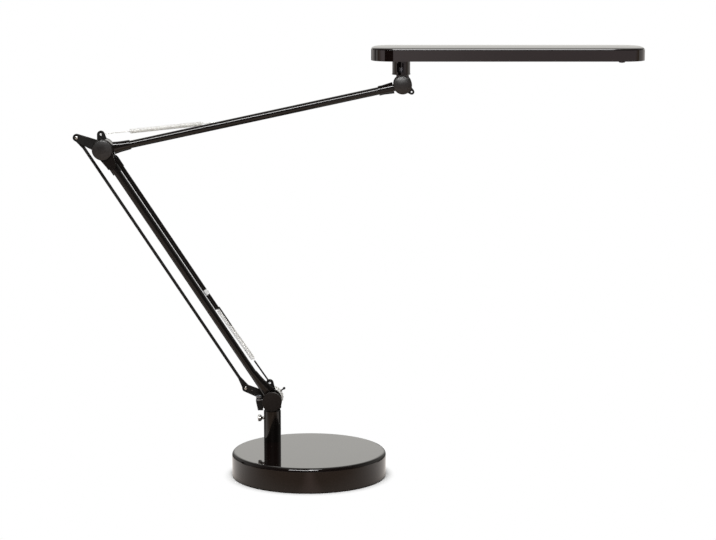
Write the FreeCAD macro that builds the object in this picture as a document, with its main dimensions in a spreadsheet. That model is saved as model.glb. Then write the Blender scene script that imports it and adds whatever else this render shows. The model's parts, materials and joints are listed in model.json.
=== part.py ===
import FreeCAD, Part
import math
import os
import re

import Sketcher

# Desk lamp: a weighted round base, a post, two spring-balanced arms kept square by a parallel
# rod, and a flat LED head on a swivel. Millimetres, +Z up. The origin is the centre of the
# base's underside on the desk, +X runs along the arms to the head and -Y faces the viewer.

SIZES = {
    # fits
    "running_clearance": 0.05,
    "fit_clearance": 0.1,
    "side_play": 0.25,
    "free_gap": 0.4,
    # round base
    "base_diameter": 200,
    "base_height": 32.4,
    "base_wall": 2.5,
    "base_edge_radius": 4.8,
    "pad_thickness": 1.5,
    "pad_inset": 8,
    "bottom_plate_thickness": 2,
    "weight_inset": 4,
    "weight_thickness": 12,
    "boss_diameter": 10,
    "boss_inset": 29.5,
    "base_screw_diameter": 4,
    "base_screw_head_diameter": 8,
    "base_screw_head_height": 1.2,
    "base_screw_grip": 8,
    "inlet_height": 21.5,
    "inlet_diameter": 9,
    "inlet_flange_diameter": 11.5,
    "inlet_flange_thickness": 1.2,
    "inlet_depth": 12,
    "inlet_bore_diameter": 5.5,
    # post
    "post_rim_inset": 27.5,
    "post_bearing": 133,
    "post_diameter": 22.5,
    "post_length": 41.7,
    "post_chamfer": 0.6,
    "post_bolt_diameter": 8,
    "post_bolt_head_diameter": 13,
    "post_bolt_head_height": 5,
    "post_bolt_grip": 12,
    "post_washer_diameter": 15,
    "post_washer_thickness": 1.5,
    "spacer_diameter": 18,
    "swivel_pin_diameter": 12,
    "swivel_pin_length": 26,
    "bush_wall": 1.2,
    "bush_flange_diameter": 21,
    "bush_flange_thickness": 1.2,
    "lock_screw_drop": 10.8,
    "lock_screw_diameter": 4,
    "lock_screw_neck": 3.1,
    "lock_head_diameter": 8.9,
    "lock_head_length": 4.7,
    "lock_head_bevel": 0.8,
    # hub on the post
    "pivot_height": 88,
    "hub_width": 23.5,
    "hub_front": 12,
    "hub_rear": 12,
    "hub_neck_diameter": 19.5,
    "pivot_bolt_diameter": 8,
    "bolt_head_diameter": 13,
    "bolt_head_height": 3,
    "friction_washer_diameter": 17,
    "friction_washer_thickness": 1,
    "cap_wall": 1.7,
    "cap_edge_radius": 1.1,
    "hub_cap_diameter": 26,
    "lug_width": 9.5,
    "lug_depth": 4.4,
    "lug_height": 12.9,
    "lug_drop": 11.8,
    "lug_taper": 2.7,
    "adjuster_diameter": 8,
    "adjuster_stem_diameter": 3.2,
    "adjuster_rim": 2.7,
    "adjuster_groove": 1.1,
    "knob_diameter": 28.5,
    "knob_thickness": 12.5,
    "knob_wall": 2.5,
    "knob_bevel": 1,
    "lever_angle": 37,
    "lever_diameter": 1.8,
    "lever_reach": 3,
    "lever_tip_diameter": 3.4,
    "lever_tip_bevel": 0.9,
    # eared plates, parallel rod
    "plate_thickness": 2.5,
    "left_ear_x": -35,
    "left_ear_z": 14.3,
    "ear_radius": 5,
    "lower_up_ear_x": -3.4,
    "lower_up_ear_z": 21.2,
    "elbow_up_ear_x": -3.3,
    "elbow_up_ear_z": 18.5,
    "plate_hub_radius": 9,
    "lower_ear_root_radius": 6.4,
    "elbow_ear_root_radius": 8.6,
    "spring_hole_diameter": 3,
    "spare_hole_diameter": 1.6,
    "spare_hole_inset": 8.6,
    "rod_diameter": 4,
    "rod_eye_radius": 4.5,
    "rod_eye_thickness": 3,
    "rod_taper_length": 15,
    "rivet_diameter": 2.6,
    "rivet_head_diameter": 4.2,
    "rivet_head_height": 0.9,
    # arms
    "lower_arm_length": 397.5,
    "lower_arm_angle": 123.2,
    "upper_arm_length": 397.5,
    "upper_arm_angle": 12.2,
    "tube_diameter": 10,
    "tube_wall": 1,
    "tube_inset": 10,
    "plug_length": 26,
    "eye_radius": 9,
    "lower_tube_offset": 1.6,
    "upper_tube_offset": -1.5,
    "ferrule_radius": 11,
    "ferrule_cheek": 4,
    "ferrule_wall": 1.5,
    "ferrule_start": 19,
    "ferrule_bridge": 7,
    "ferrule_length": 36,
    "sleeve_socket_length": 33,
    "elbow_cap_diameter": 28,
    "nut_height": 4,
    "collar_start": 19,
    "collar_length": 17,
    "collar_wall": 1.2,
    "tip_length": 32,
    "tip_neck": 13,
    # balance springs
    "wire_diameter": 1,
    "coil_diameter": 6.3,
    "coil_turns": 50,
    "hook_bend_radius": 1.6,
    "lower_coil_start": 39,
    "lower_coil_length": 80,
    "upper_coil_start": 38,
    "upper_coil_length": 94,
    "coil_lead": 3.5,
    "sleeve_diameter": 6,
    "sleeve_wall": 0.8,
    "sleeve_offset": 5.7,
    "sleeve_start": 140,
    "window_length": 8,
    "window_width": 3,
    "spring_pin_reach": 166.6,
    "spring_pin_diameter": 1.6,
    "stud_reach": 187,
    "stud_diameter": 3,
    "stud_head_diameter": 5,
    "stud_head_height": 1,
    # head hub and swivel
    "head_eye_radius": 8,
    "head_bolt_diameter": 6,
    "head_hub_radius": 10.5,
    "head_cheek": 5,
    "head_bridge_width": 16,
    "head_bridge_top": 12.6,
    "head_cap_diameter": 24,
    "head_ear_x": 12,
    "head_ear_z": -10.6,
    "head_ear_root_radius": 7,
    "head_ear_radius": 3.6,
    "head_ear_hole_diameter": 2.2,
    "head_ear_thickness": 2,
    "swivel_shift": 1.8,
    "peg_diameter": 14,
    "peg_screw_diameter": 4,
    "peg_screw_length": 8,
    "peg_screw_head_diameter": 8,
    "peg_screw_head_height": 1.8,
    "peg_washer_diameter": 17,
    "peg_washer_thickness": 1.2,
    "socket_diameter": 23,
    "socket_foot_diameter": 23.6,
    "socket_foot_height": 1.6,
    "socket_slot_width": 8.5,
    "socket_slot_shift": 1.5,
    "socket_slot_bottom": 3.5,
    "socket_recess_depth": 3.7,
    # head
    "head_bottom": 32,
    "head_length": 352,
    "head_overhang": 40.7,
    "head_depth": 70,
    "head_corner_radius": 28,
    "housing_height": 14.1,
    "housing_floor": 2,
    "housing_wall": 2.2,
    "cover_gap": 0.6,
    "cover_thickness": 2.8,
    "cover_inset": 0.5,
    "cover_bevel_width": 6,
    "cover_bevel_height": 2.3,
    "cover_lip_height": 2.4,
    "cover_lip_wall": 1.6,
    "window_start": 34,
    "window_end": 258,
    "window_depth": 46,
    "window_corner_radius": 6,
    "diffuser_margin": 4,
    "diffuser_thickness": 2,
    "reflector_height": 3.4,
    "reflector_wall": 4,
    "led_board_thickness": 1.6,
    "led_columns": 16,
    "led_rows": 2,
    "led_pitch": 13.5,
    "led_row_spacing": 24,
    "led_width": 3,
    "led_height": 1,
    "board_screw_diameter": 2,
    "board_screw_head_diameter": 3.8,
    "board_screw_head_height": 1.4,
    "socket_screw_diameter": 1.6,
    "socket_screw_head_diameter": 2.8,
    "socket_screw_head_height": 1.1,
    "socket_screw_grip": 3,
    # push button and its switch board
    "button_x": 283,
    "button_diameter": 8,
    "button_rise": 4,
    "button_flange_diameter": 10.5,
    "button_flange_thickness": 1,
    "button_travel": 0.8,
    "switch_side": 6,
    "switch_height": 2.4,
    "switch_board_length": 26,
    "switch_board_depth": 30,
    "switch_post_side": 4,
    "switch_board_thickness": 1.6,
}

Vector = FreeCAD.Vector
START, END, CENTRE = range(1, 4)
ORIGIN = -START
TOUCH = 1e-4
NORMAL = {"XY": 1, "XZ": -1, "YZ": 1}

doc = FreeCAD.newDocument("desk_lamp")
sheet = doc.addObject("Spreadsheet::Sheet", "Sizes")
for row, (alias, value) in enumerate(SIZES.items(), 1):
    sheet.set(f"A{row}", alias)
    sheet.set(f"B{row}", str(value))
    sheet.setAlias(f"B{row}", alias)
doc.recompute()


def formula(text):
    """The text with the name of each size pointing at its cell in the sheet."""
    return re.sub(r"[a-z]\w*", lambda word: f"Sizes.{word[0]}" if word[0] in SIZES else word[0], str(text))


def size(text):
    """The present value of a formula."""
    value = sheet.evalExpression(formula(text))
    return float(getattr(value, "Value", value))


def place(x="0", y="0", z="0", axis="0; 0; 1", angle="0"):
    """A placement formula: moved to (x, y, z) and turned about an axis."""
    return f"placement(vector({x}; {y}; {z}); rotation(vector({axis}); {angle}))"


def frame(x, z, lift="0"):
    """A local frame in the arms' plane, its x axis lifted from +X towards +Z."""
    return place(x, POST_Y, z, "0; 1; 0", f"-({lift})")


# Places that several pieces share

POST_X = "((base_diameter / 2 - post_rim_inset) * cos(post_bearing))"
POST_Y = "((base_diameter / 2 - post_rim_inset) * sin(post_bearing))"
ELBOW_X = f"({POST_X} + lower_arm_length * cos(lower_arm_angle))"
ELBOW_Z = "(pivot_height + lower_arm_length * sin(lower_arm_angle))"
HUB_X = f"({ELBOW_X} + upper_arm_length * cos(upper_arm_angle))"
HUB_Z = f"({ELBOW_Z} + upper_arm_length * sin(upper_arm_angle))"

BASE = place()
POST = place(POST_X, POST_Y, "base_height")
PIVOT = frame(POST_X, "pivot_height")
LOWER = frame(POST_X, "pivot_height", "lower_arm_angle")
ELBOW = frame(ELBOW_X, ELBOW_Z)
UPPER = frame(ELBOW_X, ELBOW_Z, "upper_arm_angle")
HUB = frame(HUB_X, HUB_Z)
SWIVEL = place(x="-swivel_shift")
ROD = frame(f"({POST_X} + left_ear_x)", "(pivot_height + left_ear_z)", "lower_arm_angle")

TO_VIEWER = place(axis="1; 0; 0", angle="90")
TO_BACK = place(axis="1; 0; 0", angle="-90")
ALONG_X = place(axis="0; 1; 0", angle="90")
TO_LEFT = place(axis="0; 1; 0", angle="-90")

WEIGHT_BOTTOM = "(pad_thickness + bottom_plate_thickness)"
WEIGHT_TOP = f"({WEIGHT_BOTTOM} + weight_thickness)"
BASE_CEILING = "(base_height - base_wall)"
BASE_INNER = "(base_diameter / 2 - base_wall)"
BOSS_RING = f"({BASE_INNER} - boss_inset)"
BOSSES = [
    (f"{BOSS_RING} * cos(post_bearing + {turn})", f"{BOSS_RING} * sin(post_bearing + {turn})")
    for turn in (60, 180, 300)
]
SCREW_BORE = "(base_screw_diameter / 2 + fit_clearance)"
POST_BOLT_BORE = "(post_bolt_diameter / 2 + fit_clearance)"
BOLT_RECESS = "(post_bolt_head_height + post_washer_thickness + free_gap)"
PIN_BORE = "(swivel_pin_diameter / 2 + running_clearance)"
BUSH_RADIUS = f"({PIN_BORE} + bush_wall)"
BUSH_SEAT = f"({BUSH_RADIUS} + fit_clearance)"
POST_FLOOR = "(post_length - swivel_pin_length - free_gap)"
HUB_BOTTOM = "(base_height + post_length + bush_flange_thickness - pivot_height)"
HUB_FLOOR = "(-eye_radius - free_gap)"
PIN_TOP = f"({HUB_FLOOR} - free_gap)"

EYE_HALF = "(tube_diameter / 2)"
PLATE_FRONT = f"({EYE_HALF} + side_play)"
PLATE_REAR = f"({PLATE_FRONT} + plate_thickness)"
CHEEK_FRONT = f"({EYE_HALF} + side_play + friction_washer_thickness)"
FERRULE_FRONT = f"({CHEEK_FRONT} + ferrule_cheek)"
FERRULE_REAR_IN = f"({PLATE_REAR} + side_play)"
FERRULE_REAR = f"({FERRULE_REAR_IN} + ferrule_cheek)"
ROD_FRONT = f"({PLATE_REAR} + 2 * side_play)"
ROD_REAR = f"({ROD_FRONT} + rod_eye_thickness)"
ROD_CENTRE = f"({ROD_FRONT} + rod_eye_thickness / 2)"
SPRING_Y = f"({PLATE_REAR} + wire_diameter / 2 + side_play)"
PIVOT_BORE = "(pivot_bolt_diameter / 2 + running_clearance)"
BOLT_BORE = "(pivot_bolt_diameter / 2 + fit_clearance)"
HEAD_BORE = "(head_bolt_diameter / 2 + running_clearance)"
RIVET_BORE = "(rivet_diameter / 2 + running_clearance)"
TUBE_BORE = "(tube_diameter / 2 - tube_wall)"
TUBE_SEAT = "(tube_diameter / 2 + fit_clearance)"
SLEEVE_SEAT = "(sleeve_diameter / 2 + fit_clearance)"
FERRULE_STOP = "(ferrule_start + ferrule_bridge / 2)"

HEAD_CHEEK_IN = f"({EYE_HALF} + side_play)"
HEAD_CHEEK_OUT = f"({HEAD_CHEEK_IN} + head_cheek)"
SOCKET_BOTTOM = "(head_bridge_top + free_gap)"
PEG_TOP = "(head_bottom - socket_recess_depth + side_play)"
HEAD_LEFT = "(-head_overhang)"
HEAD_RIGHT = "(head_length - head_overhang)"
FLOOR_TOP = "(head_bottom + housing_floor)"
DIFFUSER_TOP = f"({FLOOR_TOP} + diffuser_thickness)"
REFLECTOR_TOP = f"({DIFFUSER_TOP} + reflector_height)"
LED_BOARD_TOP = f"({REFLECTOR_TOP} + led_board_thickness)"
HOUSING_TOP = "(head_bottom + housing_height)"
COVER_BOTTOM = f"({HOUSING_TOP} + cover_gap)"
SWITCH_BOARD_BOTTOM = f"({FLOOR_TOP} + button_flange_thickness + button_travel + free_gap + switch_height)"


# Sketches: each drawing is a function that adds one closed outline

def bind(sketch, constraint, text):
    """Add a dimension to a sketch and bind it to a formula."""
    index = sketch.addConstraint(constraint)
    sketch.renameConstraint(index, f"size_{index}")
    sketch.setExpression(f"Constraints.size_{index}", formula(text))


def fix(sketch, line, point, x, y):
    """Hold one point of a sketch at (x, y)."""
    bind(sketch, Sketcher.Constraint("DistanceX", ORIGIN, START, line, point, size(x)), x)
    bind(sketch, Sketcher.Constraint("DistanceY", ORIGIN, START, line, point, size(y)), y)


def circle(x, y, radius):
    """A full circle."""
    def draw(sketch):
        round_line = Part.Circle(Vector(size(x), size(y), 0), Vector(0, 0, 1), size(radius))
        index = sketch.addGeometry(round_line, False)
        fix(sketch, index, CENTRE, x, y)
        bind(sketch, Sketcher.Constraint("Radius", index, size(radius)), radius)
    return draw


def polygon(*points):
    """A closed outline of straight lines."""
    def draw(sketch):
        corners = [Vector(size(x), size(y), 0) for x, y in points]
        lines = [
            sketch.addGeometry(Part.LineSegment(here, there), False)
            for here, there in zip(corners, corners[1:] + corners[:1])
        ]
        for line, before, (x, y) in zip(lines, lines[-1:] + lines[:-1], points):
            sketch.addConstraint(Sketcher.Constraint("Coincident", before, END, line, START))
            fix(sketch, line, START, x, y)
    return draw


def rectangle(left, right, bottom, top):
    """An upright rectangle."""
    return polygon((left, bottom), (right, bottom), (right, top), (left, top))


def hexagon(radius):
    """A regular hexagon about the origin."""
    return polygon(*[(f"{radius} * cos({60 * step})", f"{radius} * sin({60 * step})") for step in range(6)])


def link(x0, y0, radius0, x1, y1, radius1):
    """Two round ends joined by their common tangents."""
    def draw(sketch):
        start = Vector(size(x0), size(y0), 0)
        stop = Vector(size(x1), size(y1), 0)
        along = math.atan2(stop.y - start.y, stop.x - start.x)
        lean = math.asin((size(radius0) - size(radius1)) / start.distanceToPoint(stop))
        left = along + math.pi / 2 - lean
        right = along - math.pi / 2 + lean

        def rim(centre, radius, angle):
            return centre + Vector(math.cos(angle), math.sin(angle), 0) * size(radius)

        def arc(centre, radius, begin, finish):
            round_line = Part.Circle(centre, Vector(0, 0, 1), size(radius))
            return sketch.addGeometry(Part.ArcOfCircle(round_line, begin, finish), False)

        def side(angle):
            line = Part.LineSegment(rim(start, radius0, angle), rim(stop, radius1, angle))
            return sketch.addGeometry(line, False)

        near = arc(start, radius0, left, right + 2 * math.pi)
        far = arc(stop, radius1, right, left)
        upper = side(left)
        lower = side(right)
        for first, first_end, second, second_end in (
            (near, START, upper, START), (upper, END, far, END),
            (far, START, lower, END), (lower, START, near, END),
        ):
            sketch.addConstraint(Sketcher.Constraint("Tangent", first, first_end, second, second_end))
        for line, x, y, radius in ((near, x0, y0, radius0), (far, x1, y1, radius1)):
            fix(sketch, line, CENTRE, x, y)
            bind(sketch, Sketcher.Constraint("Radius", line, size(radius)), radius)
    return draw


def rounded(left, right, bottom, top, radius):
    """An upright rectangle with round corners."""
    def draw(sketch):
        x0, x1, y0, y1, r = (size(text) for text in (left, right, bottom, top, radius))
        quarter = math.pi / 2
        centres = ((x1 - r, y1 - r), (x0 + r, y1 - r), (x0 + r, y0 + r), (x1 - r, y0 + r))
        arcs = [
            sketch.addGeometry(
                Part.ArcOfCircle(Part.Circle(Vector(x, y, 0), Vector(0, 0, 1), r),
                                 step * quarter, (step + 1) * quarter), False)
            for step, (x, y) in enumerate(centres)
        ]
        runs = (
            (Vector(x1 - r, y1, 0), Vector(x0 + r, y1, 0)), (Vector(x0, y1 - r, 0), Vector(x0, y0 + r, 0)),
            (Vector(x0 + r, y0, 0), Vector(x1 - r, y0, 0)), (Vector(x1, y0 + r, 0), Vector(x1, y1 - r, 0)),
        )
        lines = [sketch.addGeometry(Part.LineSegment(here, there), False) for here, there in runs]
        for line, before, after in zip(lines, arcs, arcs[1:] + arcs[:1]):
            sketch.addConstraint(Sketcher.Constraint("Tangent", before, END, line, START))
            sketch.addConstraint(Sketcher.Constraint("Tangent", line, END, after, START))
        for line, way in zip(lines, ("Horizontal", "Vertical", "Horizontal", "Vertical")):
            sketch.addConstraint(Sketcher.Constraint(way, line))
        for line, way, text in zip(lines, ("Y", "X", "Y", "X"), (top, left, bottom, right)):
            bind(sketch, Sketcher.Constraint(f"Distance{way}", ORIGIN, START, line, START, size(text)),
                 text)
        for line in arcs:
            bind(sketch, Sketcher.Constraint("Radius", line, size(radius)), radius)
    return draw


class Piece:
    """One sub-part: a body whose features take every length from the sheet."""

    def __init__(self, label, *where):
        self.body = doc.addObject("PartDesign::Body", label)
        self.body.Label = label
        self.body.setExpression("Placement", formula(" * ".join(where)))

    def sketch(self, plane, level, drawings):
        """A sketch on one of the body's own planes, moved along its normal."""
        support = next(item for item in self.body.Origin.OriginFeatures if item.Role == f"{plane}_Plane")
        sketch = self.body.newObject("Sketcher::SketchObject", "Sketch")
        sketch.AttachmentSupport = (support, [""])
        sketch.MapMode = "FlatFace"
        sketch.setExpression("AttachmentOffset.Base.z", formula(level))
        for draw in drawings:
            draw(sketch)
        return sketch

    def feature(self, kind, sketch):
        """A feature made from a sketch."""
        made = self.body.newObject(f"PartDesign::{kind}", kind)
        made.Profile = sketch
        return made

    def pad(self, plane, start, stop, *drawings):
        """Material between two levels of the plane's axis."""
        level = start if NORMAL[plane] > 0 else f"-({stop})"
        made = self.feature("Pad", self.sketch(plane, level, drawings))
        made.setExpression("Length", formula(f"({stop}) - ({start})"))
        return self

    def pocket(self, plane, start, stop, *drawings):
        """A cut between two levels of the plane's axis."""
        level = stop if NORMAL[plane] > 0 else f"-({start})"
        made = self.feature("Pocket", self.sketch(plane, level, drawings))
        made.setExpression("Length", formula(f"({stop}) - ({start})"))
        return self

    def turned(self, *points):
        """A turned solid: (radius, height) points about the body's z axis."""
        sketch = self.sketch("XZ", "0", [polygon(*points)])
        self.feature("Revolution", sketch).ReferenceAxis = (sketch, ["V_Axis"])
        return self

    def grooved(self, *points):
        """A turned cut about the body's z axis."""
        sketch = self.sketch("XZ", "0", [polygon(*points)])
        self.feature("Groove", sketch).ReferenceAxis = (sketch, ["V_Axis"])
        return self

    def edge_work(self, kind, setting, amount, chosen):
        """A fillet or chamfer on the edges that a test chooses."""
        doc.recompute()
        tip = self.body.Tip
        edges = [f"Edge{number}" for number, edge in enumerate(tip.Shape.Edges, 1) if chosen(edge)]
        made = self.body.newObject(f"PartDesign::{kind}", kind)
        made.Base = (tip, edges)
        made.setExpression(setting, formula(amount))
        return self

    def fillet(self, radius, chosen):
        return self.edge_work("Fillet", "Radius", radius, chosen)

    def chamfer(self, width, chosen):
        return self.edge_work("Chamfer", "Size", width, chosen)

    def bevel(self, width, height, chosen):
        """A slope that takes one width off the flat face and another height off the side."""
        self.edge_work("Chamfer", "Size", height, chosen)
        made = self.body.Group[-1]
        made.ChamferType = "Two distances"
        made.setExpression("Size2", formula(width))
        return self


def at_height(level):
    """A test for edges that lie flat at one height of the body."""
    def chosen(edge):
        box = edge.BoundBox
        return abs(box.ZMin - size(level)) < TOUCH and abs(box.ZMax - size(level)) < TOUCH
    return chosen


def rim_at(level, radius):
    """A test for the round edge of one radius at one height of the body."""
    flat = at_height(level)

    def chosen(edge):
        round_edge = flat(edge) and isinstance(edge.Curve, Part.Circle)
        return round_edge and abs(edge.Curve.Radius - size(radius)) < TOUCH
    return chosen


# Repeated kinds of piece

def ring(label, where, inner, outer, start, stop):
    """A plain tube, washer or sleeve along the body's z axis."""
    return Piece(label, *where).turned((inner, start), (outer, start), (outer, stop), (inner, stop))


def headed(label, where, head_radius, head_start, shank_start, shank_radius, stop):
    """A bolt or screw along the body's z axis, with a round head at its start."""
    return Piece(label, *where).turned(
        ("0", head_start), (head_radius, head_start), (head_radius, shank_start),
        (shank_radius, shank_start), (shank_radius, stop), ("0", stop))


def cap(label, where, diameter, inside_radius, inside_depth):
    """A shallow cup over a bolt head or nut, open at z = 0, with a soft outer edge."""
    radius = f"({diameter} / 2)"
    top = f"({inside_depth} + cap_wall)"
    made = Piece(label, *where).turned(
        (inside_radius, "0"), (radius, "0"), (radius, top), ("0", top), ("0", inside_depth),
        (inside_radius, inside_depth))
    return made.fillet("cap_edge_radius", rim_at(top, radius))


def nut(label, where, bore, start):
    """A hexagon nut along the body's z axis."""
    stop = f"({start}) + nut_height"
    made = Piece(label, *where).pad("XY", start, stop, hexagon("bolt_head_diameter / 2"))
    return made.pocket("XY", start, stop, circle("0", "0", bore))


def eared_plate(label, where, up_x, up_z, root_radius, spare_hole):
    """A plate with an ear for the parallel rod and an ear for a spring hook."""
    made = Piece(label, where)
    made.pad("XZ", PLATE_FRONT, PLATE_REAR, circle("0", "0", "plate_hub_radius"))
    made.pad("XZ", PLATE_FRONT, PLATE_REAR,
             link("0", "0", root_radius, "left_ear_x", "left_ear_z", "ear_radius"))
    made.pad("XZ", PLATE_FRONT, PLATE_REAR, link("0", "0", root_radius, up_x, up_z, "ear_radius"))
    holes = [
        circle("0", "0", PIVOT_BORE),
        circle("left_ear_x", "left_ear_z", RIVET_BORE),
        circle(up_x, up_z, "spring_hole_diameter / 2"),
    ]
    if spare_hole:
        share = "(1 - spare_hole_inset / sqrt(left_ear_x ^ 2 + left_ear_z ^ 2))"
        holes.append(circle(f"left_ear_x * {share}", f"left_ear_z * {share}", "spare_hole_diameter / 2"))
    return made.pocket("XZ", PLATE_FRONT, PLATE_REAR, *holes)


def arm_root(label, where, offset):
    """The eye at an arm's lower end, with the plug that holds the tube."""
    made = Piece(label, where)
    made.pad("XZ", f"-{EYE_HALF}", EYE_HALF, circle("0", "0", "eye_radius"))
    made.pad("YZ", "0", "tube_inset + plug_length", circle("0", offset, f"{TUBE_BORE} - fit_clearance"))
    return made.pocket("XZ", f"-{EYE_HALF}", EYE_HALF, circle("0", "0", PIVOT_BORE))


def cylinder(radius, start, stop, *where):
    """A plain round bar along z, used where a node is a group of solids."""
    bar = doc.addObject("Part::Cylinder", "Bar")
    bar.setExpression("Radius", formula(radius))
    bar.setExpression("Height", formula(f"({stop}) - ({start})"))
    bar.setExpression("Placement", formula(" * ".join((*where, place(z=start)))))
    return bar


def group(label, kind, property_name, shapes):
    """One node that holds several separate solids."""
    made = doc.addObject(kind, label)
    made.Label = label
    setattr(made, property_name, shapes)
    return made


def screw_set(label, places, head_radius, head_start, shank_start, shank_radius, stop):
    """Equal headed screws, each at its own place, in one node."""
    bars = []
    for where in places:
        bars.append(cylinder(head_radius, head_start, shank_start, *where))
        bars.append(cylinder(shank_radius, shank_start, stop, *where))
    return group(label, "Part::MultiFuse", "Shapes", bars)


# Base

def make_base():
    radius = "(base_diameter / 2)"
    shell = Piece("base_shell", BASE).turned(
        (BASE_INNER, "pad_thickness"), (radius, "pad_thickness"), (radius, "base_height"),
        ("0", "base_height"), ("0", BASE_CEILING), (BASE_INNER, BASE_CEILING))
    shell.fillet("base_edge_radius", rim_at("base_height", radius))
    shell.pad("XY", WEIGHT_TOP, BASE_CEILING, *[circle(x, y, "boss_diameter / 2") for x, y in BOSSES])
    shell.pocket("XY", WEIGHT_TOP, f"{WEIGHT_TOP} + base_screw_grip + free_gap",
                 *[circle(x, y, SCREW_BORE) for x, y in BOSSES])
    shell.pocket("XY", BASE_CEILING, "base_height", circle(POST_X, POST_Y, POST_BOLT_BORE))
    shell.pocket("XZ", f"{BASE_INNER} - inlet_diameter", radius,
                 circle("0", "inlet_height", "inlet_diameter / 2 + fit_clearance"))

    weight = Piece("base_weight", BASE)
    weight.pad("XY", WEIGHT_BOTTOM, WEIGHT_TOP, circle("0", "0", f"{BASE_INNER} - weight_inset"))
    weight.pocket("XY", WEIGHT_BOTTOM, WEIGHT_TOP, circle(POST_X, POST_Y, POST_BOLT_BORE),
                  *[circle(x, y, SCREW_BORE) for x, y in BOSSES])
    weight.pocket("XY", WEIGHT_BOTTOM, f"{WEIGHT_BOTTOM} + {BOLT_RECESS}",
                  circle(POST_X, POST_Y, "post_washer_diameter / 2 + free_gap"))

    plate = Piece("base_plate", BASE)
    plate.pad("XY", "pad_thickness", WEIGHT_BOTTOM, circle("0", "0", f"{BASE_INNER} - fit_clearance"))
    plate.pocket("XY", "pad_thickness", WEIGHT_BOTTOM, *[circle(x, y, SCREW_BORE) for x, y in BOSSES])

    pad = Piece("base_pad", BASE)
    pad.pad("XY", "0", "pad_thickness", circle("0", "0", f"{radius} - pad_inset"))
    pad.pocket("XY", "0", "pad_thickness",
               *[circle(x, y, "base_screw_head_diameter / 2 + free_gap") for x, y in BOSSES])

    screw_set("base_screws", [(place(x, y),) for x, y in BOSSES], "base_screw_head_diameter / 2",
              "pad_thickness - base_screw_head_height", "pad_thickness", "base_screw_diameter / 2",
              f"{WEIGHT_TOP} + base_screw_grip")

    Piece("power_inlet", place("0", radius, "inlet_height"), TO_BACK).turned(
        ("0", "-inlet_depth"), ("inlet_diameter / 2", "-inlet_depth"), ("inlet_diameter / 2", "0"),
        ("inlet_flange_diameter / 2", "0"), ("inlet_flange_diameter / 2", "inlet_flange_thickness"),
        ("inlet_bore_diameter / 2", "inlet_flange_thickness"),
        ("inlet_bore_diameter / 2", "base_wall - inlet_depth"), ("0", "base_wall - inlet_depth"))


# Post and the parts that hold it

def make_post():
    radius = "(post_diameter / 2)"
    floor = f"{WEIGHT_BOTTOM} + {BOLT_RECESS} - base_height"
    bolt_end = "post_bolt_grip"
    post = Piece("post", POST).turned(
        (POST_BOLT_BORE, "0"), (radius, "0"), (radius, "post_length"), (BUSH_SEAT, "post_length"),
        (BUSH_SEAT, POST_FLOOR), ("0", POST_FLOOR), ("0", f"{bolt_end} + free_gap"),
        (POST_BOLT_BORE, f"{bolt_end} + free_gap"))
    post.chamfer("post_chamfer", rim_at("post_length", radius))
    lock_bore = circle("0", "post_length - lock_screw_drop", "lock_screw_diameter / 2 + running_clearance")
    post.pocket("YZ", f"-{radius}", "0", lock_bore)

    washer_bottom = f"{floor} - post_washer_thickness"
    headed("post_bolt", [POST], "post_bolt_head_diameter / 2", f"{washer_bottom} - post_bolt_head_height",
           washer_bottom, "post_bolt_diameter / 2", bolt_end)
    ring("post_washer", [POST], POST_BOLT_BORE, "post_washer_diameter / 2", washer_bottom, floor)
    ring("post_spacer", [POST], POST_BOLT_BORE, "spacer_diameter / 2", f"{WEIGHT_TOP} - base_height",
         "-base_wall")

    flange = "post_length + bush_flange_thickness"
    bush = Piece("post_bush", POST).turned(
        (PIN_BORE, f"{POST_FLOOR} + free_gap"), (BUSH_RADIUS, f"{POST_FLOOR} + free_gap"),
        (BUSH_RADIUS, "post_length"), ("bush_flange_diameter / 2", "post_length"),
        ("bush_flange_diameter / 2", flange), (PIN_BORE, flange))
    bush.pocket("YZ", f"-{BUSH_RADIUS}", "0", lock_bore)

    height = "base_height + post_length - lock_screw_drop"
    neck = f"{radius} + lock_screw_neck"
    shank = "lock_screw_diameter / 2"
    head = "lock_head_diameter / 2"
    end = f"{neck} + lock_head_length"
    Piece("lock_screw", place(POST_X, POST_Y, height), TO_LEFT).turned(
        ("0", f"{PIN_BORE} + side_play"), (shank, f"{PIN_BORE} + side_play"), (shank, neck),
        (head, f"{neck} + lock_head_bevel"), (head, f"{end} - lock_head_bevel"),
        (f"{head} - lock_head_bevel", end), ("0", end))


# Hub that turns on the post

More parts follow.
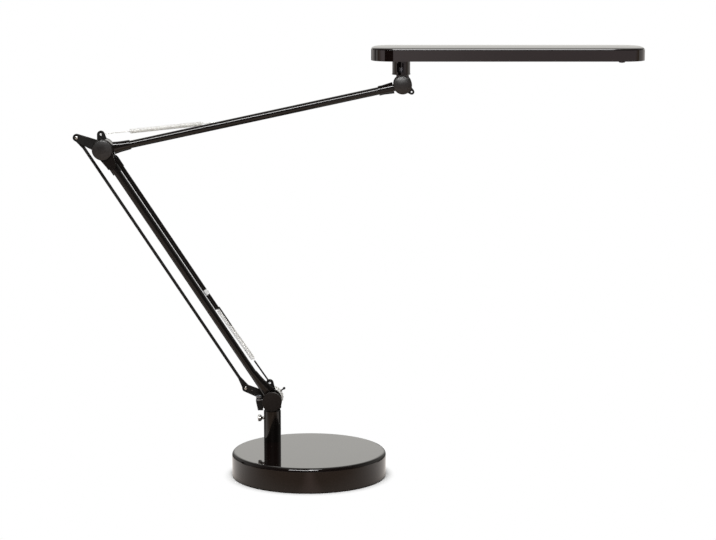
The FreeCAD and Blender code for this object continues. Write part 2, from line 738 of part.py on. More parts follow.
def make_bracket():
    half = "(hub_width / 2)"
    hub = Piece("lower_hub", PIVOT)
    hub.pad("XZ", "-hub_front", "hub_rear", circle("0", "0", half))
    hub.pad("XZ", "-hub_front", "hub_rear", rectangle(f"-{half}", half, HUB_BOTTOM, "0"))
    neck = "(hub_neck_diameter / 2)"
    wide = f"{neck} + hub_rear"
    hub.grooved((neck, HUB_BOTTOM), (wide, HUB_BOTTOM), (wide, f"{HUB_BOTTOM} + hub_rear"))
    hub.pocket("XZ", f"-{CHEEK_FRONT}", PLATE_REAR,
               rectangle("-hub_width", "hub_width", HUB_FLOOR, "hub_width"))
    hub.pocket("XZ", "-hub_front", "hub_rear", circle("0", "0", BOLT_BORE))
    hub.pocket("XY", HUB_BOTTOM, PIN_TOP, circle("0", "0", "swivel_pin_diameter / 2 + fit_clearance"))

    Piece("swivel_pin", PIVOT).pad(
        "XY", f"{HUB_BOTTOM} - bush_flange_thickness - swivel_pin_length", PIN_TOP,
        circle("0", "0", "swivel_pin_diameter / 2"))

    eared_plate("lower_plate", PIVOT, "lower_up_ear_x", "lower_up_ear_z", "lower_ear_root_radius", True)
    ring("lower_washer", [PIVOT, TO_BACK], BOLT_BORE, "friction_washer_diameter / 2",
         f"-{CHEEK_FRONT}", f"-{CHEEK_FRONT} + friction_washer_thickness")
    headed("lower_bolt", [PIVOT, TO_BACK], "bolt_head_diameter / 2", "-hub_front - bolt_head_height",
           "-hub_front", "pivot_bolt_diameter / 2",
           "hub_rear + side_play + knob_thickness - knob_wall - free_gap")
    cap("lower_cap", [PIVOT, place(y="-hub_front"), TO_VIEWER], "hub_cap_diameter",
        "bolt_head_diameter / 2 + free_gap", "bolt_head_height + side_play")

    left = f"-{half} - lug_width"
    centre = f"({left} + adjuster_diameter / 2)"
    lug_top = "lug_height - lug_drop"
    middle = "(lug_depth / 2 - hub_front)"
    lug = Piece("adjuster_lug", PIVOT)
    lug.pad("XZ", "-hub_front", "lug_depth - hub_front",
            polygon((left, lug_top), (f"{left} + lug_taper", "-lug_drop"), (f"-{half}", "-lug_drop"),
                    (f"-{half}", lug_top)))
    lug.pocket("XY", f"{lug_top} - lug_height / 2", lug_top,
               circle(centre, middle, "adjuster_stem_diameter / 2 + fit_clearance"))
    disc = "adjuster_diameter / 2"
    stem = "adjuster_stem_diameter / 2"
    second = "adjuster_rim + adjuster_groove"
    Piece("adjuster_screw", PIVOT, place(centre, middle, lug_top)).turned(
        ("0", "free_gap - lug_height / 2"), (stem, "free_gap - lug_height / 2"), (stem, "0"), (disc, "0"),
        (disc, "adjuster_rim"), (stem, "adjuster_rim"), (stem, second), (disc, second),
        (disc, f"{second} + adjuster_rim"), ("0", f"{second} + adjuster_rim"))

    seat = place(y="hub_rear + side_play")
    lift = place(axis="0; 1; 0", angle="90 - lever_angle")
    rim = "(knob_diameter / 2)"
    bore_end = "knob_thickness - knob_wall"
    root = f"{rim} - 2 * knob_wall"
    knob = Piece("friction_knob", PIVOT, seat, lift, TO_BACK).turned(
        (PIVOT_BORE, "0"), (f"{rim} - knob_bevel", "0"), (rim, "knob_bevel"),
        (rim, "knob_thickness - knob_bevel"), (f"{rim} - knob_bevel", "knob_thickness"),
        ("0", "knob_thickness"), ("0", bore_end), (PIVOT_BORE, bore_end))
    knob.pocket("XZ", f"-{rim}", f"-({root})",
                circle("0", "knob_thickness / 2", "lever_diameter / 2 + running_clearance"))

    bar = "lever_diameter / 2"
    ball = "lever_tip_diameter / 2"
    near = f"{rim} + lever_reach"
    far = f"{near} + lever_tip_diameter"
    Piece("knob_lever", PIVOT, seat, place(y="knob_thickness / 2"), lift).turned(
        ("0", root), (bar, root), (bar, near), (f"{ball} - lever_tip_bevel / 2", near),
        (ball, f"{near} + lever_tip_bevel"), (ball, f"{far} - lever_tip_bevel"),
        (f"{ball} - lever_tip_bevel", far), ("0", far))


# Lower arm with the elbow's fork, and the parallel rod

def make_lower_arm():
    arm_root("lower_root", LOWER, "lower_tube_offset")
    far = "lower_arm_length"
    ring("lower_tube", [LOWER, place(z="lower_tube_offset"), ALONG_X], TUBE_BORE, "tube_diameter / 2",
         "tube_inset", f"{far} - {FERRULE_STOP}")

    socket = f"({TUBE_SEAT} + ferrule_wall)"
    bridge_low = f"{far} - ferrule_start - ferrule_bridge"
    bridge_high = f"{far} - ferrule_start"
    ferrule = Piece("elbow_ferrule", LOWER)
    for start, stop in ((f"-{FERRULE_FRONT}", f"-{CHEEK_FRONT}"), (FERRULE_REAR_IN, FERRULE_REAR)):
        ferrule.pad("XZ", start, stop, link(far, "0", "ferrule_radius", f"{far} - {FERRULE_STOP}",
                                            "lower_tube_offset", socket))
    ferrule.pad("XZ", f"-{FERRULE_FRONT}", FERRULE_REAR,
                rectangle(bridge_low, bridge_high, f"lower_tube_offset - {socket}",
                          f"lower_tube_offset + {socket}"))
    ferrule.pad("YZ", f"{far} - ferrule_length", bridge_high, circle("0", "lower_tube_offset", socket))
    ferrule.pad("YZ", f"{far} - sleeve_socket_length", bridge_high,
                circle(SPRING_Y, "-sleeve_offset", f"{SLEEVE_SEAT} + ferrule_wall / 2"))
    ferrule.pocket("YZ", f"{far} - ferrule_length", f"{far} - {FERRULE_STOP}",
                   circle("0", "lower_tube_offset", TUBE_SEAT))
    ferrule.pocket("YZ", f"{far} - sleeve_socket_length", f"{far} - {FERRULE_STOP}",
                   circle(SPRING_Y, "-sleeve_offset", SLEEVE_SEAT))
    ferrule.pocket("XZ", f"-{FERRULE_FRONT}", FERRULE_REAR, circle(far, "0", BOLT_BORE))

    sleeve = ring("spring_sleeve", [LOWER, place(y=SPRING_Y, z="-sleeve_offset"), ALONG_X],
                  "sleeve_diameter / 2 - sleeve_wall", "sleeve_diameter / 2", "sleeve_start",
                  f"{far} - {FERRULE_STOP}")
    sleeve.pocket("XZ", "-sleeve_diameter / 2", "0",
                  rectangle("-window_width / 2", "window_width / 2", "spring_pin_reach - window_length / 2",
                            "spring_pin_reach + window_length / 2"))
    sleeve.pocket("YZ", "-sleeve_diameter / 2", "sleeve_diameter / 2",
                  circle("0", "spring_pin_reach", "spring_pin_diameter / 2 + fit_clearance"))
    Piece("spring_pin", LOWER, place("spring_pin_reach", SPRING_Y, "-sleeve_offset")).pad(
        "XY", "-sleeve_diameter / 2 - free_gap", "sleeve_diameter / 2 + free_gap",
        circle("0", "0", "spring_pin_diameter / 2"))

    head = "bolt_head_diameter / 2 + free_gap"
    headed("elbow_bolt", [ELBOW, TO_BACK], "bolt_head_diameter / 2", f"-{FERRULE_FRONT} - bolt_head_height",
           f"-{FERRULE_FRONT}", "pivot_bolt_diameter / 2", f"{FERRULE_REAR} + nut_height")
    nut("elbow_nut", [ELBOW, TO_BACK], BOLT_BORE, FERRULE_REAR)
    cap("elbow_front_cap", [ELBOW, place(y=f"-{FERRULE_FRONT}"), TO_VIEWER], "elbow_cap_diameter", head,
        "bolt_head_height + side_play")
    cap("elbow_rear_cap", [ELBOW, place(y=FERRULE_REAR), TO_BACK], "elbow_cap_diameter", head,
        "nut_height + side_play")
    ring("elbow_washer", [ELBOW, TO_BACK], BOLT_BORE, "friction_washer_diameter / 2",
         f"-{CHEEK_FRONT}", f"-{CHEEK_FRONT} + friction_washer_thickness")

    rod = Piece("parallel_rod", ROD)
    rod.pad("XZ", ROD_FRONT, ROD_REAR,
            link("0", "0", "rod_eye_radius", "rod_taper_length", "0", "rod_diameter / 2"))
    rod.pad("XZ", ROD_FRONT, ROD_REAR,
            link(far, "0", "rod_eye_radius", f"{far} - rod_taper_length", "0", "rod_diameter / 2"))
    rod.pad("YZ", "rod_eye_radius + rivet_diameter / 2", f"{far} - rod_eye_radius - rivet_diameter / 2",
            circle(ROD_CENTRE, "0", "rod_diameter / 2"))
    rod.pocket("XZ", f"{ROD_FRONT} - rod_diameter", f"{ROD_REAR} + rod_diameter",
               circle("0", "0", RIVET_BORE), circle(far, "0", RIVET_BORE))
    bars = []
    for reach in ("0", far):
        where = (ROD, place(reach), TO_BACK)
        front = f"{PLATE_FRONT} - side_play / 2"
        rear = f"{ROD_REAR} + side_play / 2"
        bars.append(cylinder("rivet_head_diameter / 2", f"{front} - rivet_head_height", front, *where))
        bars.append(cylinder("rivet_diameter / 2", front, rear, *where))
        bars.append(cylinder("rivet_head_diameter / 2", rear, f"{rear} + rivet_head_height", *where))
    group("rod_rivets", "Part::MultiFuse", "Shapes", bars)

    eared_plate("elbow_plate", ELBOW, "elbow_up_ear_x", "elbow_up_ear_z", "elbow_ear_root_radius", False)


# Upper arm

def make_upper_arm():
    far = "upper_arm_length"
    tip_start = f"{far} - tip_length"
    tube_end = f"{far} - tip_neck - tube_wall"
    arm_root("upper_root", UPPER, "upper_tube_offset")
    tube = ring("upper_tube", [UPPER, place(z="upper_tube_offset"), ALONG_X], TUBE_BORE,
                "tube_diameter / 2", "tube_inset", tube_end)
    tube.pocket("XZ", "0", "tube_diameter / 2",
                circle("0", "stud_reach", "stud_diameter / 2 + fit_clearance"))
    ring("upper_collar", [UPPER, place(z="upper_tube_offset"), ALONG_X], TUBE_SEAT,
         f"{TUBE_SEAT} + collar_wall", "collar_start", "collar_start + collar_length")

    tip = Piece("upper_tip", UPPER)
    tip.pad("XZ", f"-{EYE_HALF}", EYE_HALF, circle(far, "0", "head_eye_radius"))
    tip.pad("YZ", tube_end, far, circle("0", "upper_tube_offset", f"{EYE_HALF} - side_play"))
    tip.pad("YZ", tip_start, f"{far} - tip_neck",
            circle("0", "upper_tube_offset", f"{TUBE_SEAT} + collar_wall"))
    tip.pocket("YZ", tip_start, tube_end, circle("0", "upper_tube_offset", TUBE_SEAT))
    tip.pocket("XZ", f"-{EYE_HALF}", EYE_HALF, circle(far, "0", HEAD_BORE))

    neck = f"{SPRING_Y} + wire_diameter"
    root = f"{TUBE_BORE} - tube_wall"
    top = f"{neck} + stud_head_height"
    Piece("spring_stud", UPPER, place("stud_reach", "0", "upper_tube_offset"), TO_BACK).turned(
        ("0", root), ("stud_diameter / 2", root), ("stud_diameter / 2", neck),
        ("stud_head_diameter / 2", neck), ("stud_head_diameter / 2", top), ("0", top))


# Balance springs: one wire each, bent as a hook, a coil and a straight tail

def biarc(start, start_way, stop, stop_way):
    """Two arcs from start to stop that leave and arrive along the given unit vectors.

    With v = stop - start and t = start_way + stop_way, the tangent length d of both arcs
    solves 2 (1 - start_way . stop_way) d^2 + 2 (v . t) d - v . v = 0.
    """
    across = stop - start
    ways = start_way + stop_way
    bend = 1 - start_way.dot(stop_way)
    along = across.dot(ways)
    reach = (math.sqrt(along ** 2 + 2 * bend * across.dot(across)) - along) / (2 * bend)
    first = start + start_way * reach
    second = stop - stop_way * reach
    middle = (first + second) * 0.5

    def arc(here, corner, there):
        weight = (there - here).Length / (2 * reach)
        return Part.Arc(here, (here + corner * (2 * weight) + there) / (2 + 2 * weight), there)
    return [arc(start, first, middle), arc(middle, second, stop)]


def spring_path(coil_start, coil_length, tail):
    """The wire's centre line, along +x from the ear's hole, which the hook enters along -y.

    The coil is x = coil_start + coil_length a / (2 pi turns), y = r cos a, z = r sin a.
    """
    bend = size("hook_bend_radius")
    radius = size("(coil_diameter - wire_diameter) / 2")
    turns = round(size("coil_turns"))
    lead = size("coil_lead")
    rise = coil_length / (2 * math.pi * turns)
    ahead = Vector(1, 0, 0)

    def on_coil(angle):
        point = Vector(coil_start + rise * angle, radius * math.cos(angle), radius * math.sin(angle))
        way = Vector(rise, -radius * math.sin(angle), radius * math.cos(angle))
        return point, way / way.Length

    hook_end = Vector(0, -size(f"{SPRING_Y} - {PLATE_FRONT}"), 0)
    inset = bend * (1 - math.sqrt(0.5))
    stops = [(Vector(coil_start - lead, 0, 0), ahead)]
    stops += [on_coil(quarter * math.pi / 2) for quarter in range(4 * turns + 1)]
    stops.append((Vector(coil_start + coil_length + lead, 0, 0), ahead))
    curves = [
        Part.LineSegment(hook_end, Vector(0, -bend, 0)),
        Part.Arc(Vector(0, -bend, 0), Vector(inset, -inset, 0), Vector(bend, 0, 0)),
        Part.LineSegment(Vector(bend, 0, 0), stops[0][0]),
    ]
    for (here, way_here), (there, way_there) in zip(stops, stops[1:]):
        curves += biarc(here, way_here, there, way_there)
    curves.append(Part.LineSegment(stops[-1][0], Vector(tail, 0, 0)))
    return curves


def least_gap(curves):
    """The least clear distance from the wire to a later stretch of itself, on sampled points."""
    step = size("wire_diameter") / 2
    points = []
    travelled = 0.0
    for curve in curves:
        edge = curve.toShape()
        count = max(2, math.ceil(edge.Length / step))
        for point in edge.discretize(Number=count + 1)[:-1]:
            points.append((travelled, point))
            travelled += edge.Length / count
    apart = size("coil_diameter") * 2
    pairs = (
        here.distanceToPoint(there)
        for number, (length, here) in enumerate(points)
        for other, there in points[number + 1:number + 140]
        if other - length > apart
    )
    return min(pairs) - size("wire_diameter")


def make_spring(label, ear, anchor, coil_start, coil_length, stop_short):
    """A spring from an ear's hole to its anchor, both (x, z) in the arms' plane."""
    start = Vector(size(ear[0]), size(f"{POST_Y} + {SPRING_Y}"), size(ear[1]))
    stop = Vector(size(anchor[0]), start.y, size(anchor[1]))
    span = stop - start
    curves = spring_path(size(coil_start), size(coil_length), span.Length - size(stop_short))
    path = Part.Wire([curve.toShape() for curve in curves])
    begin = curves[0].StartPoint
    section = Part.Circle(begin, Vector(0, 1, 0), size("wire_diameter / 2")).toShape()
    made = doc.addObject("Part::Feature", label)
    made.Label = label
    made.Shape = path.makePipeShell([Part.Wire([section])], True, False)
    lift = math.degrees(math.atan2(span.z, span.x))
    made.Placement = FreeCAD.Placement(start, FreeCAD.Rotation(Vector(0, 1, 0), -lift))
    print(label, "length", round(span.Length, 1), "least gap", round(least_gap(curves), 3),
          "volume", round(made.Shape.Volume / (path.Length * math.pi * size("wire_diameter / 2") ** 2), 4))


def on_arm(base_x, base_z, angle, reach, offset):
    """A point of the arms' plane, reach along an arm and offset to its local z side."""
    return (f"{base_x} + ({reach}) * cos({angle}) - ({offset}) * sin({angle})",
            f"{base_z} + ({reach}) * sin({angle}) + ({offset}) * cos({angle})")


def make_springs():
    make_spring("lower_spring", (f"{POST_X} + lower_up_ear_x", "pivot_height + lower_up_ear_z"),
                on_arm(POST_X, "pivot_height", "lower_arm_angle", "spring_pin_reach", "-sleeve_offset"),
                "lower_coil_start", "lower_coil_length", "spring_pin_diameter / 2 + side_play")
    make_spring("upper_spring", (f"{ELBOW_X} + elbow_up_ear_x", f"{ELBOW_Z} + elbow_up_ear_z"),
                on_arm(ELBOW_X, ELBOW_Z, "upper_arm_angle", "stud_reach", "upper_tube_offset"),
                "upper_coil_start", "upper_coil_length", "stud_diameter / 2 + side_play")


# Hub between the upper arm and the head

def make_head_hub():
    half = "(head_bridge_width / 2)"
    hub = Piece("head_hub", HUB)
    for start, stop in ((f"-{HEAD_CHEEK_OUT}", f"-{HEAD_CHEEK_IN}"), (HEAD_CHEEK_IN, HEAD_CHEEK_OUT)):
        hub.pad("XZ", start, stop, circle("0", "0", "head_hub_radius"))
        hub.pad("XZ", start, stop, rectangle(f"-{half}", half, "0", "head_bridge_top"))
    hub.pad("XZ", f"-{HEAD_CHEEK_OUT}", HEAD_CHEEK_OUT,
            rectangle(f"-{half}", half, "head_eye_radius + free_gap", "head_bridge_top"))
    hub.pad("XY", "head_bridge_top", PEG_TOP, circle("-swivel_shift", "0", "peg_diameter / 2"))
    bolt_bore = "head_bolt_diameter / 2 + fit_clearance"
    hub.pocket("XZ", f"-{HEAD_CHEEK_OUT}", HEAD_CHEEK_OUT, circle("0", "0", bolt_bore))
    hub.pocket("XY", f"{PEG_TOP} - peg_screw_length - free_gap", PEG_TOP,
               circle("-swivel_shift", "0", "peg_screw_diameter / 2 + fit_clearance"))

    ear = Piece("head_ear", HUB)
    rear = f"{HEAD_CHEEK_OUT} + head_ear_thickness"
    ear.pad("XZ", HEAD_CHEEK_OUT, rear,
            link("0", "0", "head_ear_root_radius", "head_ear_x", "head_ear_z", "head_ear_radius"))
    ear.pocket("XZ", HEAD_CHEEK_OUT, rear, circle("0", "0", bolt_bore),
               circle("head_ear_x", "head_ear_z", "head_ear_hole_diameter / 2"))

    head = "bolt_head_diameter / 2 + free_gap"
    headed("head_bolt", [HUB, TO_BACK], "bolt_head_diameter / 2", f"-{HEAD_CHEEK_OUT} - bolt_head_height",
           f"-{HEAD_CHEEK_OUT}", "head_bolt_diameter / 2", f"{rear} + nut_height")
    nut("head_nut", [HUB, TO_BACK], bolt_bore, rear)
    cap("head_front_cap", [HUB, place(y=f"-{HEAD_CHEEK_OUT}"), TO_VIEWER], "head_cap_diameter", head,
        "bolt_head_height + side_play")
    cap("head_rear_cap", [HUB, place(y=rear), TO_BACK], "head_cap_diameter", head, "nut_height + side_play")

    washer_top = f"{PEG_TOP} + peg_washer_thickness"
    head_top = f"{washer_top} + peg_screw_head_height"
    Piece("peg_screw", HUB, SWIVEL).turned(
        ("0", f"{PEG_TOP} - peg_screw_length"), ("peg_screw_diameter / 2", f"{PEG_TOP} - peg_screw_length"),
        ("peg_screw_diameter / 2", PEG_TOP), ("peg_washer_diameter / 2", PEG_TOP),
        ("peg_washer_diameter / 2", washer_top), ("peg_screw_head_diameter / 2", washer_top),
        ("peg_screw_head_diameter / 2", head_top), ("0", head_top))

    bore = "peg_diameter / 2 + running_clearance"
    recess = "peg_washer_diameter / 2 + free_gap"
    recess_floor = "head_bottom - socket_recess_depth"
    foot_top = f"{SOCKET_BOTTOM} + socket_foot_height"
    foot = "socket_foot_diameter / 2"
    side = "socket_diameter / 2"
    socket = Piece("swivel_socket", HUB, SWIVEL).turned(
        (bore, SOCKET_BOTTOM), (foot, SOCKET_BOTTOM), (foot, foot_top), (side, foot_top),
        (side, "head_bottom"), (recess, "head_bottom"), (recess, recess_floor), (bore, recess_floor))
    socket.pocket("XZ", "-socket_diameter / 2", "0",
                  rectangle("-socket_slot_shift - socket_slot_width / 2",
                            "socket_slot_width / 2 - socket_slot_shift",
                            f"{SOCKET_BOTTOM} + socket_slot_bottom", recess_floor))
    socket.pocket("XY", "head_bottom - socket_screw_grip - free_gap", "head_bottom",
                  *[circle(x, y, "socket_screw_diameter / 2 + fit_clearance") for x, y in socket_screws()])


def socket_screws():
    """Where the three screws between the socket and the housing stand."""
    ring_radius = "((socket_diameter + peg_washer_diameter + 2 * free_gap) / 4)"
    return [(f"{ring_radius} * cos({turn})", f"{ring_radius} * sin({turn})") for turn in (30, 150, 270)]


# Head

def head_outline(inset):
    """The head's outline seen from above, drawn in by an inset."""
    half = "(head_depth / 2)"
    return rounded(f"{HEAD_LEFT} + {inset}", f"{HEAD_RIGHT} - {inset}", f"{inset} - {half}",
                   f"{half} - {inset}", f"head_corner_radius - {inset}")


def make_head():
    housing = Piece("head_housing", HUB)
    housing.pad("XY", "head_bottom", HOUSING_TOP, head_outline("0"))
    housing.pocket("XY", FLOOR_TOP, HOUSING_TOP, head_outline("housing_wall"))
    housing.pocket("XY", "head_bottom", FLOOR_TOP,
                   rounded("window_start", "window_end", "-window_depth / 2", "window_depth / 2",
                           "window_corner_radius"),
                   circle("button_x", "0", "button_diameter / 2 + side_play"),
                   *[circle(f"{x} - swivel_shift", y, "socket_screw_diameter / 2 + fit_clearance")
                     for x, y in socket_screws()])
    edge = "(switch_board_depth / 2)"
    post = "switch_post_side"
    housing.pad("XY", FLOOR_TOP, SWITCH_BOARD_BOTTOM,
                *[rectangle(f"button_x - {post} / 2", f"button_x + {post} / 2", low, high)
                  for low, high in ((f"-{edge}", f"{post} - {edge}"), (f"{edge} - {post}", edge))])

    cover = Piece("head_cover", HUB)
    cover.pad("XY", COVER_BOTTOM, f"{COVER_BOTTOM} + cover_thickness", head_outline("cover_inset"))
    cover.bevel("cover_bevel_width", "cover_bevel_height", at_height(f"{COVER_BOTTOM} + cover_thickness"))
    lip_bottom = f"{HOUSING_TOP} - cover_lip_height"
    cover.pad("XY", lip_bottom, COVER_BOTTOM, head_outline("(housing_wall + fit_clearance)"))
    cover.pocket("XY", lip_bottom, COVER_BOTTOM,
                 head_outline("(housing_wall + fit_clearance + cover_lip_wall)"))

    margin = "diffuser_margin"
    left = f"window_start - {margin}"
    right = f"window_end + {margin}"
    side = f"(window_depth / 2 + {margin})"
    Piece("diffuser", HUB).pad("XY", FLOOR_TOP, DIFFUSER_TOP, rectangle(left, right, f"-{side}", side))
    screw_x = ("window_start - reflector_wall / 2 + fit_clearance",
               "window_end + reflector_wall / 2 - fit_clearance")
    screw_y = "(window_depth / 2 - reflector_wall)"
    screws = [(x, f"{sign}{screw_y}") for x in screw_x for sign in ("", "-")]
    holes = [circle(x, y, "board_screw_diameter / 2 + fit_clearance") for x, y in screws]
    reflector = Piece("reflector_frame", HUB)
    reflector.pad("XY", DIFFUSER_TOP, REFLECTOR_TOP, rectangle(left, right, f"-{side}", side))
    reflector.pocket("XY", DIFFUSER_TOP, REFLECTOR_TOP,
                     rectangle(f"{left} + reflector_wall", f"{right} - reflector_wall",
                               f"reflector_wall - {side}", f"{side} - reflector_wall"), *holes)
    board = Piece("led_board", HUB)
    board.pad("XY", REFLECTOR_TOP, LED_BOARD_TOP, rectangle(left, right, f"-{side}", side))
    board.pocket("XY", REFLECTOR_TOP, LED_BOARD_TOP, *holes)

    lamps = []
    columns = round(size("led_columns"))
    rows = round(size("led_rows"))
    for column in range(columns):
        for row in range(rows):
            lamp = doc.addObject("Part::Box", "Lamp")
            lamp.setExpression("Length", formula("led_width"))
            lamp.setExpression("Width", formula("led_width"))
            lamp.setExpression("Height", formula("led_height"))
            along = f"({column} - ({columns} - 1) / 2) * led_pitch"
            across = f"({row} - ({rows} - 1) / 2) * led_row_spacing"
            corner = place(f"(window_start + window_end - led_width) / 2 + {along}",
                           f"{across} - led_width / 2", f"{REFLECTOR_TOP} - led_height")
            lamp.setExpression("Placement", formula(f"{HUB} * {corner}"))
            lamps.append(lamp)
    group("leds", "Part::Compound", "Links", lamps)

    over = place(axis="1; 0; 0", angle="180")
    screw_set("board_screws", [(HUB, place(x, y, LED_BOARD_TOP), over) for x, y in screws],
              "board_screw_head_diameter / 2", "-board_screw_head_height", "0", "board_screw_diameter / 2",
              "led_board_thickness + reflector_height - free_gap")
    screw_set("socket_screws", [(HUB, SWIVEL, place(x, y, FLOOR_TOP), over) for x, y in socket_screws()],
              "socket_screw_head_diameter / 2", "-socket_screw_head_height", "0",
              "socket_screw_diameter / 2", "housing_floor + socket_screw_grip")

    switch = Piece("switch_board", HUB)
    switch.pad("XY", SWITCH_BOARD_BOTTOM, f"{SWITCH_BOARD_BOTTOM} + switch_board_thickness",
               rectangle("button_x - switch_board_length / 2", "button_x + switch_board_length / 2",
                         f"-{edge}", edge))
    switch.pad("XY", f"{SWITCH_BOARD_BOTTOM} - switch_height", SWITCH_BOARD_BOTTOM,
               rectangle("button_x - switch_side / 2", "button_x + switch_side / 2",
                         "-switch_side / 2", "switch_side / 2"))

    flange_top = f"{FLOOR_TOP} + button_flange_thickness"
    button = Piece("button", HUB, place("button_x")).turned(
        ("0", "head_bottom - button_rise"), ("button_diameter / 2", "head_bottom - button_rise"),
        ("button_diameter / 2", FLOOR_TOP), ("button_flange_diameter / 2", FLOOR_TOP),
        ("button_flange_diameter / 2", flange_top), ("0", flange_top))
    button.fillet("button_flange_thickness", rim_at("head_bottom - button_rise", "button_diameter / 2"))


make_base()
make_post()
make_bracket()
make_lower_arm()
make_upper_arm()
make_springs()
make_head_hub()
make_head()
doc.recompute()

NODES = [item for item in doc.Objects if item.Label.islower() and hasattr(item, "Shape")]
for item in doc.Objects:
    if {"Invalid", "Error"} & set(item.State):
        raise RuntimeError(f"{item.Label}: {item.State}")
for node in NODES:
    if node.Shape.isNull() or not node.Shape.isValid() or not node.Shape.Solids:
        raise RuntimeError(f"{node.Label} has no sound shape")

os.makedirs("parts", exist_ok=True)
for node in NODES:
    node.Shape.exportStep(f"parts/{node.Label}.step")
print(len(NODES), "nodes written")
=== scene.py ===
# %% [markdown]
# # A balanced-arm desk lamp
# The lamp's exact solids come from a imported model, one object for each part, grouped into bodies
# that move. This lesson lights that model, gives each part its finish, and replaces the parts
# whose look lives in fine shape, such as the springs, with surfaces worked out here.

# %% Load the frame
import json
import math

import bmesh
import bpy
import numpy as np
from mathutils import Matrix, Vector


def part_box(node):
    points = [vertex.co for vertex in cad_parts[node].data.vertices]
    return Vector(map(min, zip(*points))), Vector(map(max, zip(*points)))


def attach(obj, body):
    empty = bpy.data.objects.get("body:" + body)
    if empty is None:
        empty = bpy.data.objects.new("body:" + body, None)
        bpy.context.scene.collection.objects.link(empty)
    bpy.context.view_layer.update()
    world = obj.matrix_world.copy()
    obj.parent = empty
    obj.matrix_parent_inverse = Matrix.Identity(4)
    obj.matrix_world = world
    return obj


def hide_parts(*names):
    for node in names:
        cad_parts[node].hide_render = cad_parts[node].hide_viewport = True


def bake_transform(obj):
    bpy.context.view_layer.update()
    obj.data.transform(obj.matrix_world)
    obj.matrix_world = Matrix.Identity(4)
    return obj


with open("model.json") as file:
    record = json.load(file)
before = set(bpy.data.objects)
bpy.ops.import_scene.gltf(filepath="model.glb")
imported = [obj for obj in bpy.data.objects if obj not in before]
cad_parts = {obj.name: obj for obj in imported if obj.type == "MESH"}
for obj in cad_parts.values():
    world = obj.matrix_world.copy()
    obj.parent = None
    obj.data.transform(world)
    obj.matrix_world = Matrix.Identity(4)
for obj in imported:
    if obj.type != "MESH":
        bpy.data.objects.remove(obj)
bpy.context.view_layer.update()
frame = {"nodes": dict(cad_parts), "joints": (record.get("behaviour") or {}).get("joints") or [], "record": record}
NODES = frame["nodes"]
JOINTS = {joint["name"]: joint for joint in frame["joints"]}
BODIES = frame["record"]["behaviour"]["bodies"]
BODY_OF = {node: body for body, nodes in BODIES.items() for node in nodes}
MM = 0.001

# %% [markdown]
# ## Camera
# The base's two rim ellipses fix the viewpoint: the camera looks 9.36 degrees down, level, from
# about three metres, through a long lens. A long lens keeps the arms' plane free of distortion,
# so the lengths in the picture stay in proportion.

# %% Camera
PICTURE_WIDTH = 716
FOCAL_PIXELS = 2349
SENSOR = 36
PITCH_DOWN = math.radians(9.36)
CAMERA_PLACE = (0.0638, -2.9816, 0.7618)

camera_data = bpy.data.cameras.new("camera")
camera_data.sensor_width = SENSOR
camera_data.lens = SENSOR * FOCAL_PIXELS / PICTURE_WIDTH
camera_data.clip_end = 100
camera = bpy.data.objects.new("camera", camera_data)
camera.location = CAMERA_PLACE
camera.rotation_euler = (math.pi / 2 - PITCH_DOWN, 0, 0)
bpy.context.scene.collection.objects.link(camera)
bpy.context.scene.camera = camera
bpy.context.scene.view_settings.view_transform = "Standard"
print("lens", round(camera_data.lens, 1), "mm")

# %% [markdown]
# ## Shader maths
# A finish is easier to read as a formula than as a web of nodes. `Wire` holds one socket and
# turns Python operators into Math nodes; `Shader` adds any other node to a material or a world.
# Only sockets that can be baked get a value that varies over the surface.

# %% Shader helpers
class Wire:
    """One shader value. Each operator adds a Math node and gives its result."""

    def __init__(self, shader, socket):
        self.shader = shader
        self.socket = socket

    def maths(self, operation, first, second):
        return self.shader.add("Math", {"operation": operation}, {0: first, 1: second})

    def __add__(self, other):
        return self.maths("ADD", self, other)

    def __sub__(self, other):
        return self.maths("SUBTRACT", self, other)

    def __mul__(self, other):
        return self.maths("MULTIPLY", self, other)

    __radd__ = __add__
    __rmul__ = __mul__


class Shader:
    """A node tree with one method for any node, and the few patterns that the finishes share."""

    def __init__(self, owner):
        owner.use_nodes = True
        self.tree = owner.node_tree

    def put(self, socket, value):
        """Link a wire to a socket, or set the socket's own value."""
        if isinstance(value, Wire):
            self.tree.links.new(value.socket, socket)
        else:
            socket.default_value = value

    def add(self, kind, settings, sockets, output=0):
        """Add a node: its type, its settings, then its sockets' values or links."""
        node = self.tree.nodes.new("ShaderNode" + kind)
        for key, setting in settings.items():
            setattr(node, key, setting)
        for key, value in sockets.items():
            self.put(node.inputs[key], value)
        return Wire(self, node.outputs[output])

    def mix(self, share, first, second):
        """Mix two colours, each a colour or a wire."""
        return self.add("Mix", {"data_type": "RGBA"}, {0: share, 6: first, 7: second}, output=2)

    def spread(self, value, low, high, out_low=0.0, out_high=1.0):
        """Carry the part of a value between low and high smoothly to another range."""
        return self.add("MapRange", {"interpolation_type": "SMOOTHSTEP"},
                        {0: value, 1: low, 2: high, 3: out_low, 4: out_high})

    def place(self, stretch=(1, 1, 1), lift=0.0):
        """Object coordinates in metres, turned about Y so that x runs along an arm, then stretched."""
        where = self.add("TexCoord", {}, {}, output="Object")
        turned = self.add("VectorRotate", {"rotation_type": "Y_AXIS"}, {"Vector": where, "Angle": lift})
        return self.add("Mapping", {"vector_type": "POINT"}, {"Vector": turned, "Scale": stretch})

    def grain(self, per_metre, detail=2.0, stretch=(1, 1, 1), lift=0.0):
        """Cloudy noise from 0 to 1 with a given number of grains per metre."""
        where = self.place(stretch, lift)
        return self.add("TexNoise", {}, {"Vector": where, "Scale": per_metre, "Detail": detail})


